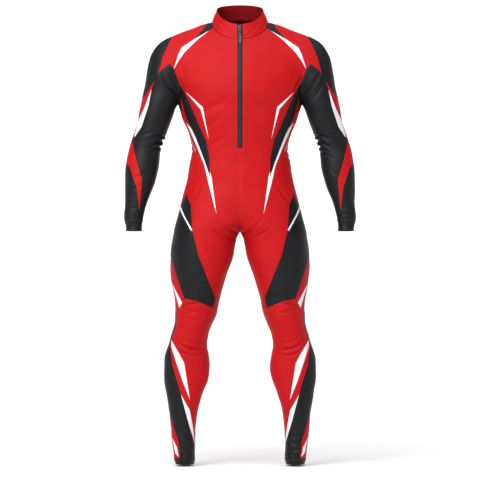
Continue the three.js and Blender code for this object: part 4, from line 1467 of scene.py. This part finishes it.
def coil_film(name, base, edge):
    """Thin matt polyurethane film, laid hot over a nylon coil: satin where it is drawn over the ribs."""
    n = Nodes(name)
    place = n.add("TexCoord").outputs["Object"]
    tone = n.add("TexNoise", {"Vector": place, "Scale": grain(8), "Detail": 2.0})
    mix = n.add("Mix", {"Factor": tone.outputs["Fac"], "A": linear(edge), "B": linear(base)},
                data_type="RGBA")
    fine = n.add("TexNoise", {"Vector": place, "Scale": grain(0.3), "Detail": 1.0})
    bump = n.add("Bump", {"Height": fine.outputs["Fac"], "Strength": 0.2, "Distance": 0.03 * MM})
    return n.finish(Base_Color=mix.outputs[2], Roughness=0.42, Normal=bump.outputs[0],
                    Specular_IOR_Level=0.3)


def cast_metal(name, base, dark):
    """Die-cast zinc, tumbled and plated in gunmetal: a satin face with faint, cloudy wear."""
    n = Nodes(name)
    place = n.add("TexCoord").outputs["Object"]
    cloud = n.add("TexNoise", {"Vector": place, "Scale": grain(4.5), "Detail": 3.0, "Roughness": 0.6})
    mix = n.add("Mix", {"Factor": cloud.outputs["Fac"], "A": linear(dark), "B": linear(base)},
                data_type="RGBA")
    gloss = n.add("MapRange", {"Value": cloud.outputs["Fac"], "To Min": 0.26, "To Max": 0.42})
    fine = n.add("TexNoise", {"Vector": place, "Scale": grain(0.4), "Detail": 1.0})
    bump = n.add("Bump", {"Height": fine.outputs["Fac"], "Strength": 0.25, "Distance": 0.02 * MM})
    return n.finish(Base_Color=mix.outputs[2], Metallic=1.0, Roughness=gloss.outputs["Result"],
                    Normal=bump.outputs[0])


def sewing_thread(name, base):
    """Twisted polyester thread: the plies turn once in 1 mm, and catch the light."""
    n = Nodes(name)
    place = n.add("TexCoord").outputs["Object"]
    twist = n.add("TexWave", {"Vector": place, "Scale": bands(1)},
                  **DIAGONAL)
    bump = n.add("Bump", {"Height": twist.outputs["Fac"], "Strength": 0.5, "Distance": 0.05 * MM})
    return n.finish(Base_Color=linear(base), Roughness=0.5, Normal=bump.outputs[0], Sheen_Weight=0.2)


def make_materials():
    return {
        # dyed face of the laminate: clear, even red with a broad soft sheen
        "red": laminate("knit_dyed_red", "#AE040C", "#9E030A", 0.58),
        # the same dyed black: a little smoother, so that folds show as soft lights
        "black": laminate("knit_dyed_black", "#141517", "#101113", 0.46),
        # the undyed ground of the same laminate, left bare by the print
        "white": laminate("knit_bare_white", "#D8D9DC", "#D0D1D5", 0.52, 0.02),
        # brushed inner sides, dull; the inner red is painted darker than the face, as painted shade inside
        # the suit
        "red_inside": laminate("brushed_inside_red_painted_shade", "#7E0308", "#6A0206", 0.85),
        "black_inside": laminate("brushed_inside_black", "#17181A", "#101113", 0.85),
        # woven polyester, black and dry
        "tape": woven_tape("polyester_tape_black", "#08090A"),
        # polyurethane film over the nylon coil, slate grey and satin
        "film": coil_film("polyurethane_film_slate", "#1D2225", "#16191B"),
        # plated zinc casting, dark and satin
        "gunmetal": cast_metal("zinc_gunmetal_plated", "#4C4E50", "#37393C"),
        # sewing thread dyed to match the cloth, painted a shade lighter than it as a painted highlight along
        # the stitched edges
        "thread_red": sewing_thread("polyester_thread_red_painted_highlight", "#C8252B"),
        "thread_black": sewing_thread("polyester_thread_black", "#2A2C2E"),
    }


# ---- Building the panels ----
COLOURS = ["red", "black", "white"]
# The front and back panels run from neck to knee in one piece, where the model has two nodes.
NODES = {"front": ["front", "leg_front"], "back": ["back", "leg_back"]}


def rides(piece, replaces=(), body="suit"):
    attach(piece, body)
    if replaces:
        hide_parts(*replaces)


def print_index(cloth, panel, faces):
    """The colour of each face of a panel: its own, or that of the last print on it."""
    middle = cloth.points[faces].mean(axis=1)
    colour = np.full(len(faces), COLOURS.index(panel["colour"]))
    for shape in PRINTS:
        if panel["name"] not in shape["panels"]:
            continue
        hit = inside(shape["outline"], middle[:, 0], middle[:, 2])
        if shape["face"] < 0:
            hit &= middle[:, 1] < PRINT_END
        colour[hit] = COLOURS.index(shape["colour"])
    return colour


def sewn_cloth(points, faces, normals, side):
    """The worn cloth of one side, parted along its seams, and the faces of each panel by name."""
    points = worn(points, normals, side)
    cloth = Cloth(points, outward(points, faces), faces)
    part_seams(cloth)
    found = panel_faces(cloth)
    seam_dip(cloth)
    return cloth, found


def build_panel(panel, cloth, faces, side, word, materials):
    points, mesh_faces, part = thick_piece(cloth.points, cloth.normals, faces, side)
    index = np.full(len(mesh_faces), COLOURS.index(panel["colour"]))
    index[part == 0] = print_index(cloth, panel, faces)
    index[part == 1] = len(COLOURS)
    # inner skins take the inside materials; the red one is painted darker than the face as painted shade
    slots = [materials[colour] for colour in COLOURS] + [materials[panel["colour"] + "_inside"]]
    piece = mesh_object(f"cloth_{panel['name']}_{word}", points, mesh_faces, slots, index)
    piece.data.set_sharp_from_angle(angle=radians(CLOTH_SHARP))
    replaced = [f"{node}_{word}" for node in NODES.get(panel["name"], [panel["name"]])]
    rides(piece, replaced)


def build_suit(materials):
    points, faces = half_suit()
    normals = outward(points, faces)
    clothes = []
    for side, word in ((1, "left"), (-1, "right")):
        cloth, found = sewn_cloth(points, faces, normals, side)
        for panel in PANELS:
            build_panel(panel, cloth, cloth.faces[found[panel["name"]]], side, word, materials)
        clothes.append((cloth, side))
    line = front_line(points, normals)
    collar = build_collar(materials)
    slider_top = build_slider(materials)
    build_tapes(line, materials)
    build_film(line, materials, slider_top)
    build_stops(line, materials)
    build_stitching(skin_tree(clothes, collar), line, collar, materials)


# ---- Camera, light and floor ----
AIM = Vector((0, 0, -0.689))
CAMERA_AWAY = 12.0
CAMERA_RISE = 1.0
FLOOR_Z = -1.424
ROOM_RADIUS = 30.0
ROOM_WALL = 6.0
ROOM_SIDES = 96
COVE = 4.0
COVE_STEPS = 8
SENSOR = 36
VIEW_WIDTH = 1.56
SUN_AWAY = 4
WORLD_LIGHT = 0.3


def add_camera():
    data = bpy.data.cameras.new("camera")
    data.sensor_width = SENSOR
    data.lens = SENSOR * CAMERA_AWAY / VIEW_WIDTH
    camera = bpy.data.objects.new("camera", data)
    bpy.context.scene.collection.objects.link(camera)
    tilt = radians(CAMERA_RISE)
    camera.location = AIM + CAMERA_AWAY * Vector((0, -cos(tilt), sin(tilt)))
    camera.rotation_euler = (AIM - camera.location).to_track_quat("-Z", "Y").to_euler()
    bpy.context.scene.camera = camera


def add_light(name, kind, power, place, target):
    """A light at a place, turned towards a target."""
    data = bpy.data.lights.new(name, kind)
    data.energy = power
    light = bpy.data.objects.new(name, data)
    bpy.context.scene.collection.objects.link(light)
    light.location = place
    light.rotation_euler = (target - light.location).to_track_quat("-Z", "Y").to_euler()
    return data


def add_sun(name, azimuth, rise, strength, angle):
    """A broad, even light. Azimuth 0 is straight in front of the suit, and 90 at its left."""
    turn, up = radians(azimuth), radians(rise)
    way = Vector((sin(turn) * cos(up), -cos(turn) * cos(up), sin(up)))
    add_light(name, "SUN", strength, AIM + SUN_AWAY * way, AIM).angle = radians(angle)


def add_room():
    """A pale studio floor that curves up into a low wall all round, far from the suit."""
    bpy.ops.object.select_all(action="DESELECT")
    bpy.ops.mesh.primitive_circle_add(
        vertices=ROOM_SIDES, radius=ROOM_RADIUS - COVE, fill_type="NGON", location=(0, 0, FLOOR_Z),
    )
    room = bpy.context.object
    room.name = "floor"
    bpy.ops.object.mode_set(mode="EDIT")
    bpy.ops.mesh.select_mode(type="EDGE")
    bpy.ops.mesh.select_all(action="SELECT")
    radius, height = ROOM_RADIUS - COVE, 0.0
    for step in range(1, COVE_STEPS + 1):
        turn = pi / 2 * step / COVE_STEPS
        wide, high = ROOM_RADIUS - COVE + COVE * sin(turn), COVE * (1 - cos(turn))
        raise_edge(wide / radius, high - height)
        radius, height = wide, high
    raise_edge(1, ROOM_WALL - COVE)
    bpy.ops.object.mode_set(mode="OBJECT")
    bpy.ops.object.shade_smooth()
    n = Nodes("painted_room")
    room.data.materials.append(n.finish(Base_Color=linear("#E9E9E9"), Roughness=0.9))


def raise_edge(scale, rise):
    """Extrudes the selected rim, widens it and lifts it."""
    bpy.ops.mesh.extrude_edges_move(TRANSFORM_OT_translate={"value": (0, 0, rise)})
    bpy.ops.transform.resize(value=(scale, scale, 1), center_override=(0, 0, 0))


def add_studio():
    scene = bpy.context.scene
    scene.view_settings.view_transform = "Standard"
    world = bpy.data.worlds.new("studio")
    world.use_nodes = True
    world.node_tree.nodes["Background"].inputs["Color"].default_value = (1, 1, 1, 1)
    world.node_tree.nodes["Background"].inputs["Strength"].default_value = WORLD_LIGHT
    scene.world = world
    add_sun("key", -20, 42, 2.5, 75)
    add_sun("top", 20, 80, 1.5, 90)
    # a soft box, 1.2 m wide, that points at the chest
    add_light("window", "AREA", 26, Vector((-1.1, -2.0, 0.5)), AIM / 2).size = 1.2
    add_room()


# ---- The whole suit ----
add_camera()
add_studio()
build_suit(make_materials())
